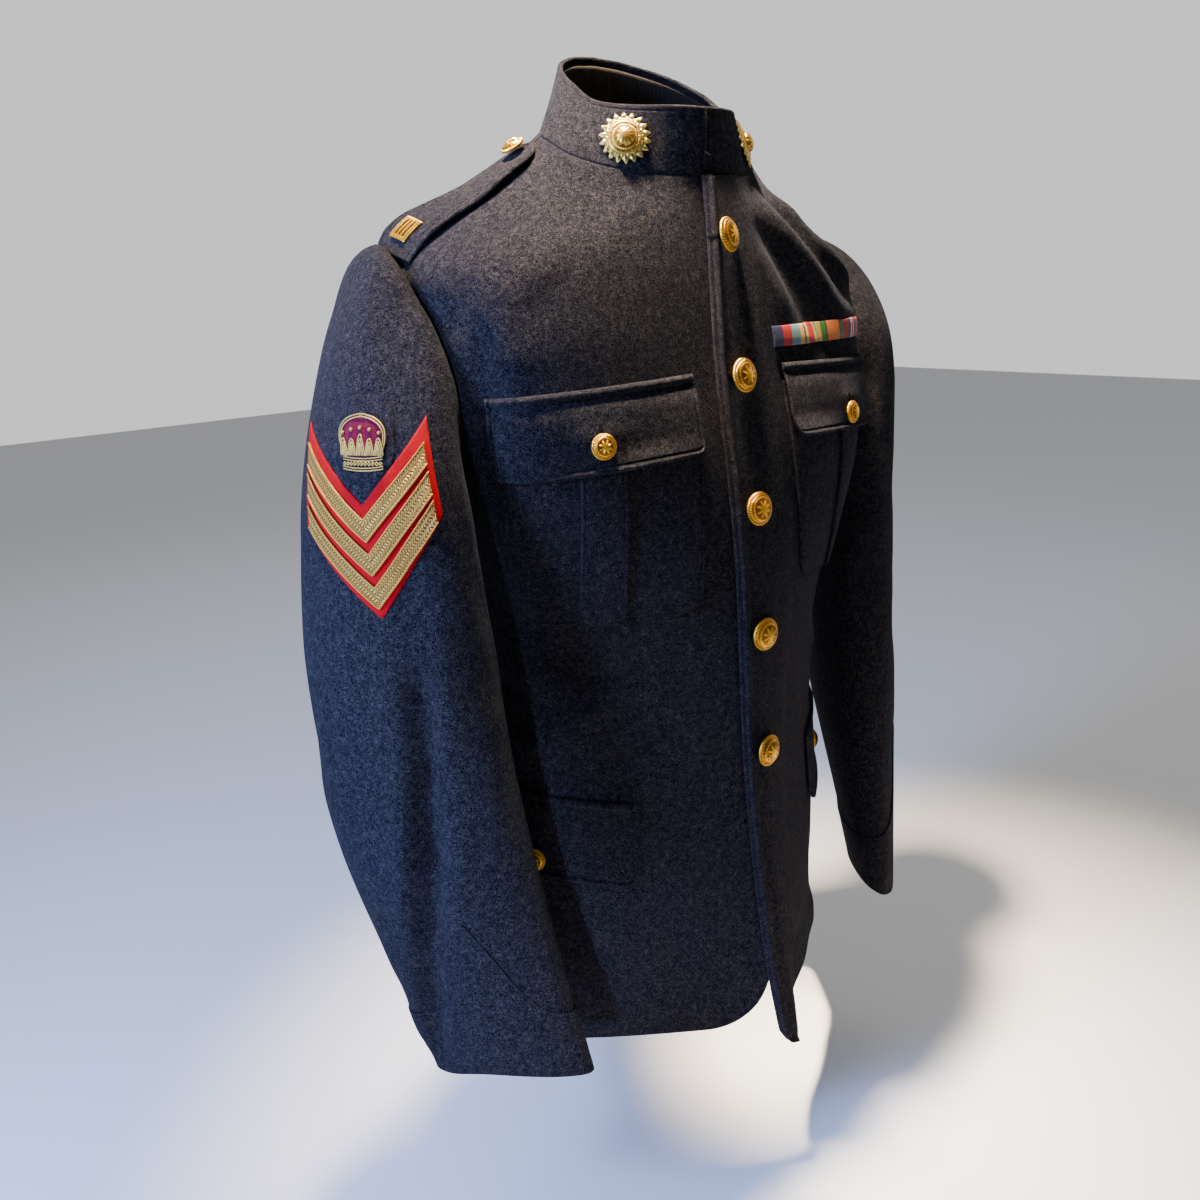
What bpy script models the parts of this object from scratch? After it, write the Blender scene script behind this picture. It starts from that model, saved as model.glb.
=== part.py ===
"""A military dress tunic: stand collar, five front buttons, four flapped pockets, pointed cuffs.

Metres, +Z up.  The front faces -Y and the wearer's left is +X.  The origin is in the neck
hole, on the middle line, level with the side neck points.
The cloth is walls: each cut piece is read from a smooth skin (body, sleeve or collar) and
gets its thickness from that skin, so that neighbours meet edge to edge.
Sizes are in millimetres until a point is made.
"""
import math

import bmesh
import bpy
import numpy as np
from mathutils import Matrix, Vector
from mathutils.bvhtree import BVHTree

MM = 0.001

# Cloth walls and the air between pieces
WALL = 2.2
COLLAR_WALL = 3.8
SEAM = 0.3
OVERLAY_GAP = 0.45
CLOTH_STEP = 1.8         # thickness of a cloth piece sewn on top
PLEAT_STEP = 1.5
BUTTON_GAP = 0.45

# Outline of the body at each height: half width, where the cloth lies at the front middle,
# side and back middle, and the powers that round the section there (1 is an ellipse).
BODY_COLUMNS = ("height", "half_width", "front_y", "side_y", "back_y",
                "front_turn", "side_turn", "back_turn")
BODY = (
    (-780, 187, -181, 2, 148, 2.20, 1.52, 0.95),
    (-735, 187, -170, 2, 145, 2.14, 1.48, 0.95),
    (-680, 186, -156, 2, 139, 1.98, 1.36, 0.95),
    (-600, 182, -142, 2, 124, 1.74, 1.20, 0.95),
    (-500, 175, -134, 0, 104, 1.60, 1.10, 0.95),
    (-400, 167, -137, -3, 90, 1.36, 1.00, 0.92),
    (-330, 178, -136, 0, 98, 1.06, 0.80, 0.88),
    (-250, 196, -128, 4, 112, 0.83, 0.52, 0.80),
    (-190, 203, -118, 8, 113, 0.77, 0.47, 0.78),
    (-140, 206, -110, 11, 110, 0.77, 0.55, 0.82),
    (-100, 205, -103, 22, 103, 0.84, 0.80, 0.88),
    (-75, 180, -98, 29, 94, 0.98, 1.00, 0.95),
    (-50, 141, -92, 23, 80, 1.06, 1.05, 1.00),
    (-25, 102, -87, 5, 63, 1.04, 1.00, 1.00),
    (0, 73, -81, -10, 50, 1.00, 1.00, 1.00),
    (30, 52, -70, -18, 38, 1.00, 1.00, 1.00),
)
BODY_LOW, BODY_HIGH = -780, 30

# Where the body is cut.  "share" counts round the body: 0 front middle, 1 side, 2 back middle.
HEM_COLUMNS = ("share", "height")
HEM = {1: ((0, -744), (0.3, -743), (0.7, -739), (1.15, -735), (2.0, -735)),
       -1: ((0, -729), (0.3, -729), (0.7, -731), (1.15, -733), (2.0, -735))}
HEM_CORNERS = {1: (14, -744), -1: (70, -729)}     # radius and height of a front's lower corner
NECKLINE_COLUMNS = ("share", "height")
NECKLINE = ((0, -47), (0.3, -44), (0.6, -32), (0.85, -18.5), (1.0, -12.5),
            (1.25, -5), (1.5, 1), (1.75, 6), (2.0, 8))
ARMHOLE_COLUMNS = ("turn", "share", "height")     # turn: -90 underarm, 0 front, 90 shoulder
ARMHOLE = ((-270, 1.00, -98), (-250, 1.07, -103), (-230, 1.14, -116), (-210, 1.19, -136),
           (-190, 1.22, -160), (-170, 1.235, -188), (-150, 1.22, -214), (-130, 1.17, -236),
           (-110, 1.10, -250), (-90, 1.00, -254), (-70, 0.91, -248), (-50, 0.845, -232),
           (-30, 0.81, -210), (-10, 0.80, -188), (10, 0.815, -168), (30, 0.85, -148),
           (50, 0.90, -126), (70, 0.945, -108), (90, 1.00, -98))
SIDE_SEAM_COLUMNS = ("height", "share")
SIDE_SEAM = ((-780, 1.22), (-600, 1.20), (-500, 1.19), (-400, 1.11), (-300, 1.03), (-254, 1.00))

# Front edge and overlap
FRONT_EDGE_COLUMNS = ("height", "past_middle")    # how far a front runs past the middle line
FRONT_EDGE = {1: ((-780, 15), (-620, 15), (-500, 17), (-390, 23), (-290, 26), (-190, 24),
                  (-90, 13), (-47, 7)),
              -1: ((-780, -9), (-660, -7), (-600, 8), (-500, 16), (-390, 20), (-290, 20),
                   (-190, 18), (-90, 12), (-47, 7))}
EDGE_LIFT = 3.0          # how far the left front stands over the right one
LIFT_ENDS = (27, 47)     # round from the middle line: full lift, then none

# Soft folds: round and height at both ends, half width, height over the cloth (- is a trough)
FOLD_COLUMNS = ("from_round", "from_height", "to_round", "to_height", "half_width", "rise")
BODY_FOLDS = (
    (40, -62, 62, -150, 12, 2.4),
    (62, -66, 178, -165, 13, 3.4),
    (95, -62, 190, -128, 10, 2.2),
    (35, -80, 120, -150, 10, -1.6),
    (-60, -66, -170, -120, 14, 2.0),
    (-205, -112, -226, -150, 8, -2.4),
    (-150, -405, -235, -330, 15, -3.0),
    (-120, -440, -215, -400, 14, 2.2),
    (150, -405, 235, -330, 15, -3.0),
    (120, -440, 215, -400, 14, 2.2),
    (-230, -430, -330, -395, 16, -3.2),
    (230, -430, 330, -395, 16, -3.2),
    (-250, -480, -360, -445, 16, 2.6),
    (250, -480, 360, -445, 16, 2.6),
    (-330, -380, -425, -250, 18, -2.6),
    (330, -380, 425, -250, 18, -2.6),
    (-300, -600, -320, -740, 24, 4.0),
    (300, -600, 320, -740, 24, 4.0),
    (-400, -560, -410, -740, 26, 3.0),
    (400, -560, 410, -740, 26, 3.0),
    (-350, -130, -480, -200, 16, 2.0),
    (350, -130, 480, -200, 16, 2.0),
    (58, -688, 62, -800, 40, -10.0),
)

# Sleeves below the armhole: centre line (out from the middle, forward is -), half sizes
# across and fore and aft, and how far the front edge is turned inwards, in degrees
SLEEVE_COLUMNS = ("height", "out", "y", "across", "deep", "turn")
SLEEVE_RIGHT = (
    (-280, 246, -10, 46, 75, 14),
    (-340, 248, -11, 46, 77, 21),
    (-400, 248, -14, 46, 78, 28),
    (-460, 247, -19, 44, 78, 33),
    (-520, 243, -30, 41, 76, 37),
    (-580, 236, -44, 34, 71, 40),
    (-630, 229, -59, 28, 66, 42),
    (-700, 219, -79, 20, 61, 43),
)
SLEEVE_LEFT = (
    (-280, 251, 4, 46, 75, 14),
    (-340, 251, 1, 46, 77, 21),
    (-400, 250, -5, 46, 78, 28),
    (-460, 248, -13, 44, 78, 33),
    (-520, 244, -23, 41, 76, 37),
    (-580, 237, -37, 34, 71, 40),
    (-630, 229, -52, 28, 66, 42),
    (-700, 218, -71, 20, 61, 43),
)
SLEEVE_HEM = -700
SLEEVE_HEM_RISE = 7      # the hem stands higher on the outer side
HEAD_SHARE = 0.34        # part of the sleeve's rows that belongs to its rounded head
# How the head leaves the armhole (outwards, fore and aft, down) and how far the directions
# of its two ends carry, as parts of its depth
HEADS = {-1: (0.90, 0.68, 0.00, 0.58, 0.98), 1: (0.90, 0.36, -0.22, 1.60, 1.55)}
SLEEVE_LAP = (0.45, 2.65)  # how far the sleeve's edge stands off the body: underarm, top

# Shoulder straps: the face's front and back edges at distances out from the middle line
STRAP_COLUMNS = ("out", "front_y", "front_z", "back_y", "back_z")
STRAP = ((90, -20, -17, 21, -19), (110, -21, -30, 24, -31), (130, -18, -44, 27, -43),
         (150, -15, -59, 31, -52), (170, -11, -70, 35, -60), (190, -8, -82, 40, -69),
         (200, -6, -90, 43, -77), (208, -5, -97, 46, -88))
STRAP_CROWN = 1.5
STRAP_WALL = 3.6
STRAP_ENDS = (94, 207)
STRAP_BUTTON = 104
TITLE_PLATE = (193, 18, 25)      # out from the middle line, length, width

# Collar: the top edge's ring and the height of the stand
COLLAR_TOP = dict(half_width=66, half_depth=67, centre_y=-26)
COLLAR_HEIGHT = 49
COLLAR_END_GAP = 0.6


def eased(table, where):
    """Read the columns of a table at places along its first one, on a smooth curve."""
    rows = np.array(sorted(table), dtype=float)
    knots, values = rows[:, 0], rows[:, 1:]
    slopes = np.gradient(values, knots, axis=0)
    where = np.clip(np.asarray(where, dtype=float), knots[0], knots[-1])
    low = np.clip(np.searchsorted(knots, where, side="right") - 1, 0, len(knots) - 2)
    span = (knots[low + 1] - knots[low])[..., None]
    t = (where - knots[low])[..., None] / span
    return ((2 * t**3 - 3 * t**2 + 1) * values[low] + (t**3 - 2 * t**2 + t) * span * slopes[low]
            + (3 * t**2 - 2 * t**3) * values[low + 1] + (t**3 - t**2) * span * slopes[low + 1])


def smooth(t):
    """0 to 1 with level ends."""
    t = np.clip(t, 0.0, 1.0)
    return t * t * (3 - 2 * t)


class Skin:
    """A closed surface sampled in rows (along) of points (around), read between the samples.

    run gives a sample's distance round the cloth from the middle line, in millimetres.
    """

    def __init__(self, around, along, points, middle, closed=True):
        self.around, self.along, self.points, self.closed = around, along, points, closed
        steps = np.linalg.norm(np.diff(points, axis=1), axis=2)
        self.run = np.concatenate([np.zeros((len(along), 1)), np.cumsum(steps, axis=1)], axis=1)
        self.run -= np.array([np.interp(middle, around, row) for row in self.run])[:, None]
        self.find_normals()

    def find_normals(self):
        points = self.points
        across = np.gradient(points, axis=1)
        if self.closed:
            across[:, 0] = across[:, -1] = (points[:, 1] - points[:, -2]) / 2
        normals = np.cross(across, np.gradient(points, axis=0))
        normals /= np.linalg.norm(normals, axis=2, keepdims=True) + 1e-9
        outwards = points - points.mean(axis=1, keepdims=True)
        if (normals * outwards).sum() < 0:
            normals = -normals
        self.normals = normals

    def fold(self, table):
        """Raise or sink soft folds, given by distance round the skin and height."""
        for x0, y0, x1, y1, width, rise in table:
            length = math.hypot(x1 - x0, y1 - y0)
            ux, uy = (x1 - x0) / length, (y1 - y0) / length
            dx, dy = self.run - x0, self.points[..., 2] - y0
            t = (dx * ux + dy * uy) / length
            aside = dx * uy - dy * ux
            reach = smooth((t + 0.15) / 0.35) * smooth((1.15 - t) / 0.35)
            lift = rise * reach * np.exp(-(aside / width)**2)
            self.points = self.points + self.normals * lift[..., None]
        self.find_normals()

    def index(self, around, along):
        around, along = np.asarray(around, dtype=float), np.asarray(along, dtype=float)
        if self.closed:
            span = self.around[-1] - self.around[0]
            around = (around - self.around[0]) % span + self.around[0]
        i = np.interp(around, self.around, np.arange(len(self.around)))
        j = np.interp(along, self.along, np.arange(len(self.along)))
        return np.minimum(i, len(self.around) - 1 - 1e-9), np.minimum(j, len(self.along) - 1 - 1e-9)

    def at(self, around, along, out=0.0):
        """Points (millimetres) at places on the skin, moved out along its normal."""
        i, j = self.index(around, along)
        i0, j0 = i.astype(int), j.astype(int)
        fi, fj = (i - i0)[..., None], (j - j0)[..., None]

        def read(values):
            return ((values[j0, i0] * (1 - fi) + values[j0, i0 + 1] * fi) * (1 - fj)
                    + (values[j0 + 1, i0] * (1 - fi) + values[j0 + 1, i0 + 1] * fi) * fj)

        normal = read(self.normals)
        normal = normal / np.linalg.norm(normal, axis=-1, keepdims=True)
        return read(self.points) + normal * np.asarray(out, dtype=float)[..., None]

    def normal_at(self, around, along):
        normal = self.at(around, along, 1.0) - self.at(around, along, 0.0)
        return Vector(normal)

    def share(self, round_mm, along):
        """The around value at a distance round the cloth from the skin's middle line."""
        j = np.interp(along, self.along, np.arange(len(self.along)))
        j0 = min(int(j), len(self.along) - 2)
        row = self.run[j0] * (1 - (j - j0)) + self.run[j0 + 1] * (j - j0)
        return np.interp(round_mm, row, self.around)

    def on_cloth(self, flat):
        """Turn (distance round, height) places into (around, along) pairs."""
        flat = np.asarray(flat, dtype=float)
        found = []
        for x, height in flat.reshape(-1, 2):
            around = 0.5 * (self.around[0] + self.around[-1])
            for _ in range(5):
                i = np.interp(around, self.around, np.arange(len(self.around)))
                i0 = min(int(i), len(self.around) - 2)
                column = self.points[:, i0, 2] * (1 - i + i0) + self.points[:, i0 + 1, 2] * (i - i0)
                order = 1 if column[-1] > column[0] else -1
                along = np.interp(height, column[::order], self.along[::order])
                around = self.share(x, along)
            found.append((around, along))
        return np.array(found).reshape(flat.shape)

    def drawn_to(self, places, targets, times):
        """Slide (around, along) places over the skin towards points."""
        around, along = places[..., 0], places[..., 1]
        du, dv = np.diff(self.around)[0], np.diff(self.along)[0]
        for _ in range(times):
            gap = targets - self.at(around, along)
            a = (self.at(around + du, along) - self.at(around - du, along)) / (2 * du)
            b = (self.at(around, along + dv) - self.at(around, along - dv)) / (2 * dv)
            aa, bb, ab = (a * a).sum(-1), (b * b).sum(-1), (a * b).sum(-1)
            ga, gb = (a * gap).sum(-1), (b * gap).sum(-1)
            scale = aa * bb - ab * ab + 1e-9
            around = around + np.clip((ga * bb - gb * ab) / scale, -2 * du, 2 * du)
            along = along + np.clip((gb * aa - ga * ab) / scale, -2 * dv, 2 * dv)
        return np.stack([around, along], axis=-1)

    def nearest(self, target):
        """The (around, along) place closest to a point."""
        flat = self.points.reshape(-1, 3)
        j, i = divmod(int(np.argmin(((flat - target)**2).sum(axis=1))), len(self.around))
        return self.drawn_to(np.array([self.around[i], self.along[j]]), np.asarray(target), 6)


# ---- skins -------------------------------------------------------------------------------

def quarter(width, reach, middle_turn, side_turn, count):
    """Evenly spaced points of a quarter section, from its middle line out to its side."""
    turn = np.linspace(0.0, math.pi / 2, 300)
    x = width * np.sin(turn)**middle_turn
    y = reach * np.cos(turn)**side_turn
    run = np.concatenate([[0.0], np.cumsum(np.hypot(np.diff(x), np.diff(y)))])
    even = np.linspace(0.0, run[-1], count + 1)
    return np.interp(even, run, x), np.interp(even, run, y)


def body_skin():
    count = 60
    heights = np.linspace(BODY_LOW, BODY_HIGH, 203)
    rows = []
    for height, section in zip(heights, eased(BODY, heights)):
        half_width, front_y, side_y, back_y, front_turn, side_turn, back_turn = section
        xf, yf = quarter(half_width, side_y - front_y, front_turn, side_turn, count)
        xb, yb = quarter(half_width, back_y - side_y, back_turn, side_turn, count)
        x = np.concatenate([xf, xb[::-1][1:]])
        y = np.concatenate([side_y - yf, side_y + yb[::-1][1:]])
        x, y = np.concatenate([-x[::-1], x[1:]]), np.concatenate([y[::-1], y[1:]])
        rows.append(np.stack([x, y, np.full_like(x, height)], axis=1))
    skin = Skin(np.linspace(-2, 2, 4 * count + 1), heights, np.array(rows), 0.0)
    skin.fold(BODY_FOLDS)
    return skin


def strap_skin(side):
    """The underside of a shoulder strap, a band that stands off the shoulder between its ends."""
    out = np.linspace(STRAP[0][0], STRAP[-1][0], 40)
    across = np.linspace(-1, 1, 9)
    front_y, front_z, back_y, back_z = [column[:, None] for column in eased(STRAP, out).T]
    share = (across[None] + 1) / 2
    points = np.stack([np.broadcast_to(side * out[:, None], (len(out), 9)),
                       front_y + (back_y - front_y) * share,
                       front_z + (back_z - front_z) * share + STRAP_CROWN * (1 - across**2)], axis=-1)
    skin = Skin(across, out, points, 0.0, closed=False)
    if skin.normals[..., 2].mean() < 0:
        skin.normals = -skin.normals
    return skin


def armhole_point(body, side, turn, out=0.0):
    turn = np.asarray(turn, dtype=float)
    share, height = np.moveaxis(eased(ARMHOLE, np.where(turn > 90, turn - 360, turn)), -1, 0)
    return body.at(side * share, height, out)


def sleeve_ring(side, table, height, turns):
    """A level section of the sleeve; turn 0 is its front edge, 90 its outer side."""
    out, y, across, deep, turn = eased(table, height)
    lean = math.radians(turn)
    forward = np.array([-side * math.sin(lean), -math.cos(lean)])
    outward = np.array([side * math.cos(lean), -math.sin(lean)])
    angle = np.radians(turns)[:, None]
    plan = (np.array([side * out, y]) + deep * np.cos(angle) * forward
            + across * np.sin(angle) * outward)
    return np.column_stack([plan, np.full(len(plan), float(height))])


def sleeve_skin(body, side, table, folds):
    """Round the arm from the inner line (0) by the front (0.25), outer side and back."""
    around = np.linspace(0.0, 1.0, 121)
    along = np.linspace(0.0, 1.0, 141)
    turns = around * 360 - 90
    top = table[0][0]
    lap = SLEEVE_LAP[0] + (SLEEVE_LAP[1] - SLEEVE_LAP[0]) * smooth((np.sin(np.radians(turns)) + 0.9) / 0.9)
    start = armhole_point(body, side, turns, lap)
    end = sleeve_ring(side, table, top, turns)
    below = sleeve_ring(side, table, top - 10, turns)
    chord = np.linalg.norm(end - start, axis=1, keepdims=True)
    swing = np.radians(turns)
    outwards, fore, down, first, last = HEADS[side]
    leave = np.stack([side * np.full_like(swing, outwards), -fore * np.cos(swing),
                      -down + 0.3 * np.minimum(np.sin(swing), 0.0)], axis=1)
    leave /= np.linalg.norm(leave, axis=1, keepdims=True)
    arrive = below - end
    arrive /= np.linalg.norm(arrive, axis=1, keepdims=True)
    rows = []
    for v in along:
        if v < HEAD_SHARE:
            t = v / HEAD_SHARE
            rows.append((2 * t**3 - 3 * t**2 + 1) * start
                        + (t**3 - 2 * t**2 + t) * first * chord * leave
                        + (3 * t**2 - 2 * t**3) * end
                        + (t**3 - t**2) * last * chord * arrive)
        else:
            share = (v - HEAD_SHARE) / (1 - HEAD_SHARE)
            ring = sleeve_ring(side, table, top + (SLEEVE_HEM - top) * share, turns)
            ring[:, 2] += SLEEVE_HEM_RISE * share**4 * np.cos(np.radians(turns - 115))
            rows.append(ring)
    skin = Skin(around, along, np.array(rows), 0.5)
    skin.fold(folds)
    return skin


def neckline_height(share):
    return eased(NECKLINE, abs(share))[..., 0]


def collar_skin(body):
    """Round the neck from the right end (-2 to 0 is the right half) to the left end."""
    along = np.linspace(0.0, 1.0, 12)
    around = np.linspace(-2.0, 2.0, 161)
    share = np.where(around < 0, -(around + 2), 2 - around)
    base = body.at(share, neckline_height(share))
    centre = COLLAR_TOP["centre_y"]
    swing = np.arctan2(base[:, 0], centre - base[:, 1])
    swing[around < 0] = -np.abs(swing[around < 0])
    swing[around >= 0] = np.abs(swing[around >= 0])
    top = np.stack([COLLAR_TOP["half_width"] * np.sin(swing),
                    centre - COLLAR_TOP["half_depth"] * np.cos(swing),
                    base[:, 2]], axis=1)
    flat = np.linalg.norm((top - base)[:, :2], axis=1)
    top[:, 2] += np.sqrt(np.maximum(COLLAR_HEIGHT**2 - flat**2, 1.0))
    points = base[None] + (top - base)[None] * along[:, None, None]
    return Skin(around, along, points, 0.0, closed=False)


# ---- laying out ---------------------------------------------------------------------------

def coons(top, bottom, left, right):
    """Fill four sides (top and bottom from left to right, the others downwards)."""
    u = np.linspace(0, 1, len(top))[None, :, None]
    v = np.linspace(0, 1, len(left))[:, None, None]
    sides = ((1 - v) * top[None] + v * bottom[None] + (1 - u) * left[:, None] + u * right[:, None])
    corners = ((1 - u) * (1 - v) * top[0] + u * (1 - v) * top[-1]
               + (1 - u) * v * bottom[0] + u * v * bottom[-1])
    return sides - corners


def spaced(skin, path, fractions):
    """Places at fractions of a path's length, the path given as (around, along) pairs."""
    path = np.asarray(path, dtype=float)
    points = skin.at(path[:, 0], path[:, 1])
    run = np.concatenate([[0.0], np.cumsum(np.linalg.norm(np.diff(points, axis=0), axis=1))])
    where = np.asarray(fractions) * run[-1]
    return np.stack([np.interp(where, run, path[:, 0]), np.interp(where, run, path[:, 1])], axis=1)


def even(count):
    return np.linspace(0.0, 1.0, count + 1)


def beside(skin, path, mm):
    """The path moved round the skin by some millimetres."""
    path = np.array(path, dtype=float)
    step = 0.01
    reach = np.linalg.norm(skin.at(path[:, 0] + step, path[:, 1]) - skin.at(path[:, 0] - step, path[:, 1]),
                           axis=1) / (2 * step)
    path[:, 0] += mm / reach
    return path


def panel(skin, top, bottom, left, right):
    """A grid of (around, along) places between four sides, evenly spread over the skin."""
    grid = coons(top, bottom, left, right)
    for _ in range(160):
        points = skin.at(grid[..., 0], grid[..., 1])
        middle = (points[:-2, 1:-1] + points[2:, 1:-1] + points[1:-1, :-2] + points[1:-1, 2:]) / 4
        grid[1:-1, 1:-1] = skin.drawn_to(grid[1:-1, 1:-1], middle, 1)
    return grid


def sheet(corners, radii, columns, rows):
    """A flat grid inside four corners (top left, top right, bottom right, bottom left), rounded."""
    corners = [np.array(corner, dtype=float) for corner in corners]
    halves = []
    for k, radius in enumerate(radii):
        here = corners[k]
        before, after = corners[k - 1] - here, corners[(k + 1) % 4] - here
        before, after = before / np.linalg.norm(before), after / np.linalg.norm(after)
        if radius == 0:
            halves.append(([here], [here]))
            continue
        half = math.acos(float(before @ after)) / 2
        middle = here + (before + after) / np.linalg.norm(before + after) * radius / math.sin(half)
        first, last = here + before * radius / math.tan(half), here + after * radius / math.tan(half)
        swing = [first * (1 - t) + last * t for t in even(12)]
        arc = [middle + (p - middle) / np.linalg.norm(p - middle) * radius for p in swing]
        halves.append((arc[:7], arc[6:]))
    lines = []
    for k in range(4):
        path = np.array(halves[k][1] + halves[(k + 1) % 4][0])
        run = np.concatenate([[0.0], np.cumsum(np.linalg.norm(np.diff(path, axis=0), axis=1))])
        where = even(columns if k % 2 == 0 else rows) * run[-1]
        lines.append(np.stack([np.interp(where, run, path[:, i]) for i in (0, 1)], axis=1))
    return coons(lines[0], lines[2][::-1], lines[3][::-1], lines[1])


def body_front(body, side):
    """The grid of a front: its own edge on the left, the armhole and side seam on the right."""
    radius, low = HEM_CORNERS[side]
    past = {h: float(eased(FRONT_EDGE[side], h)[0]) for h in np.linspace(-48, low + radius, 50)}
    edge = [(-past[h], h) for h in past]
    foot = edge[-1][0]
    turn = np.linspace(0, math.pi / 2, 17)
    arc = [(foot + radius * (1 - math.cos(t)), low + radius * (1 - math.sin(t))) for t in turn]
    edge, start = [(side * s, h) for s, h in edge + arc[1:9]], [(side * s, h) for s, h in arc[8:]]
    edge, start = body.on_cloth(edge), body.on_cloth(start)
    seam = side * float(side_seam(low))
    hem = [(a, float(hem_height(side, a))) for a in np.linspace(start[-1][0], seam, 40)[1:]]
    neck = np.linspace(edge[0][0], side, 60)
    edge[0] = (neck[0], neckline_height(neck[0]))
    top = join(spaced(body, [(a, neckline_height(a)) for a in neck], even(8)),
               beside(body, shoulder_seam(body, side), -side * SEAM / 2))
    rows = join(even(12) * 0.31, 0.31 + even(14) * 0.69)
    grid_edge = spaced(body, edge, rows)
    outer = join(armhole_path(side, np.linspace(90, -90, 13)), side_line(body, side, -1))
    bottom = spaced(body, np.concatenate([start, hem]), even(14))
    outer[0], bottom[-1], grid_edge[0], grid_edge[-1] = top[-1], outer[-1], top[0], bottom[0]
    return panel(body, top, bottom, grid_edge, outer)


def body_back(body, side):
    """The grid of a back half: the centre seam on the left, armhole and side seam on the right."""
    neck = np.linspace(2 * side, side, 60)
    top = join(spaced(body, [(a, neckline_height(a)) for a in neck], even(5)),
               beside(body, shoulder_seam(body, side), side * SEAM / 2))
    low = float(hem_height(side, 2))
    centre = [(2 * side, h) for h in np.linspace(float(neckline_height(2)), low, 50)]
    rows = join(even(12) * 0.33, 0.33 + even(14) * 0.67)
    centre = beside(body, spaced(body, centre, rows), -side * SEAM / 2)
    outer = join(armhole_path(side, np.linspace(90, 270, 13)), side_line(body, side, 1))
    seam = float(outer[-1][0])
    bottom = [(a, float(hem_height(side, a))) for a in np.linspace(centre[-1][0], seam, 40)]
    bottom = spaced(body, bottom, even(11))
    top[0], outer[0], bottom[-1], centre[-1] = centre[0], top[-1], outer[-1], bottom[0]
    return panel(body, top, bottom, centre, outer)


def join(first, second):
    return np.concatenate([first[:-1], second])


def side_seam(height):
    return eased(SIDE_SEAM, height)[..., 0]


def hem_height(side, share):
    return eased(HEM[side], abs(share))[..., 0]


def shoulder_seam(body, side):
    end = float(eased(ARMHOLE, 90)[1])
    heights = np.linspace(float(neckline_height(1)), end, 40)
    return spaced(body, [(side, h) for h in heights], even(6))


def armhole_path(side, turns):
    turns = np.where(turns > 90, turns - 360, turns)
    path = eased(ARMHOLE, turns)
    path[:, 0] *= side
    return path


def side_line(body, side, way):
    low = float(hem_height(side, side_seam(-735)))
    heights = np.linspace(float(eased(ARMHOLE, -90)[1]), low, 50)
    path = [(side * float(side_seam(h)), h) for h in heights]
    return beside(body, spaced(body, path, even(14)), side * way * SEAM / 2)


# ---- solids -------------------------------------------------------------------------------

def paint(name, colour, roughness, metallic=0.0, sheen=0.0):
    material = bpy.data.materials.new(name)
    material.use_nodes = True
    shader = material.node_tree.nodes["Principled BSDF"]
    shader.inputs["Base Color"].default_value = (*colour, 1.0)
    shader.inputs["Roughness"].default_value = roughness
    shader.inputs["Metallic"].default_value = metallic
    shader.inputs["Sheen Weight"].default_value = sheen
    material.diffuse_color = (*colour, 1.0)
    return material


def place(name, mesh, matrix=None):
    thing = bpy.data.objects.new(name, mesh)
    if matrix is not None:
        thing.matrix_world = matrix
    tunic.objects.link(thing)
    return thing


def finish(name, bm, material, smooth_under=38):
    bmesh.ops.recalc_face_normals(bm, faces=bm.faces[:])
    if bm.calc_volume(signed=True) < 0:
        bmesh.ops.reverse_faces(bm, faces=bm.faces[:])
    mesh = bpy.data.meshes.new(name)
    bm.to_mesh(mesh)
    bm.free()
    mesh.materials.append(material)
    mesh.shade_smooth()
    mesh.set_sharp_from_angle(angle=math.radians(smooth_under))
    return mesh


def tree_of(things):
    """A ray-casting tree; a bent quad is taken with both of its diagonals."""
    points, faces = [], []
    for thing in things:
        first = len(points)
        points += [thing.matrix_world @ vert.co for vert in thing.data.vertices]
        for face in thing.data.polygons:
            ends = [first + k for k in face.vertices]
            halves = [ends] if len(ends) != 4 else [[ends[k - j] for j in (0, 1, 2)] for k in range(4)]
            faces += halves
    return BVHTree.FromPolygons(points, faces)


def shortfall(tree, points, normals, gap):
    """How far points must rise along their normals to stand a gap over the solids under them."""
    high = 30.0
    lack = np.zeros(points.shape[:-1])
    for spot in np.ndindex(lack.shape):
        start = Vector((points[spot] + normals[spot] * high) * MM)
        hit = tree.ray_cast(start, Vector(-normals[spot]), (high + 6) * MM)
        if hit[0] is not None:
            lack[spot] = max(0.0, gap + high - hit[3] / MM)
    return lack


def between(values, row, column, diagonal, step):
    """Read a grid of values at a step of a finer grid over it, its cells cut by either diagonal."""
    i, j = min(row // step, len(values) - 2), min(column // step, values.shape[1] - 2)
    u, v = row / step - i, column / step - j
    (a, b), (c, d) = values[i:i + 2, j:j + 2]
    if diagonal:
        return a + u * (c - a) + v * (d - c) if u > v else a + v * (b - a) + u * (d - b)
    return a + u * (c - a) + v * (b - a) if u + v < 1 else d + (1 - u) * (b - d) + (1 - v) * (c - d)


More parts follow.
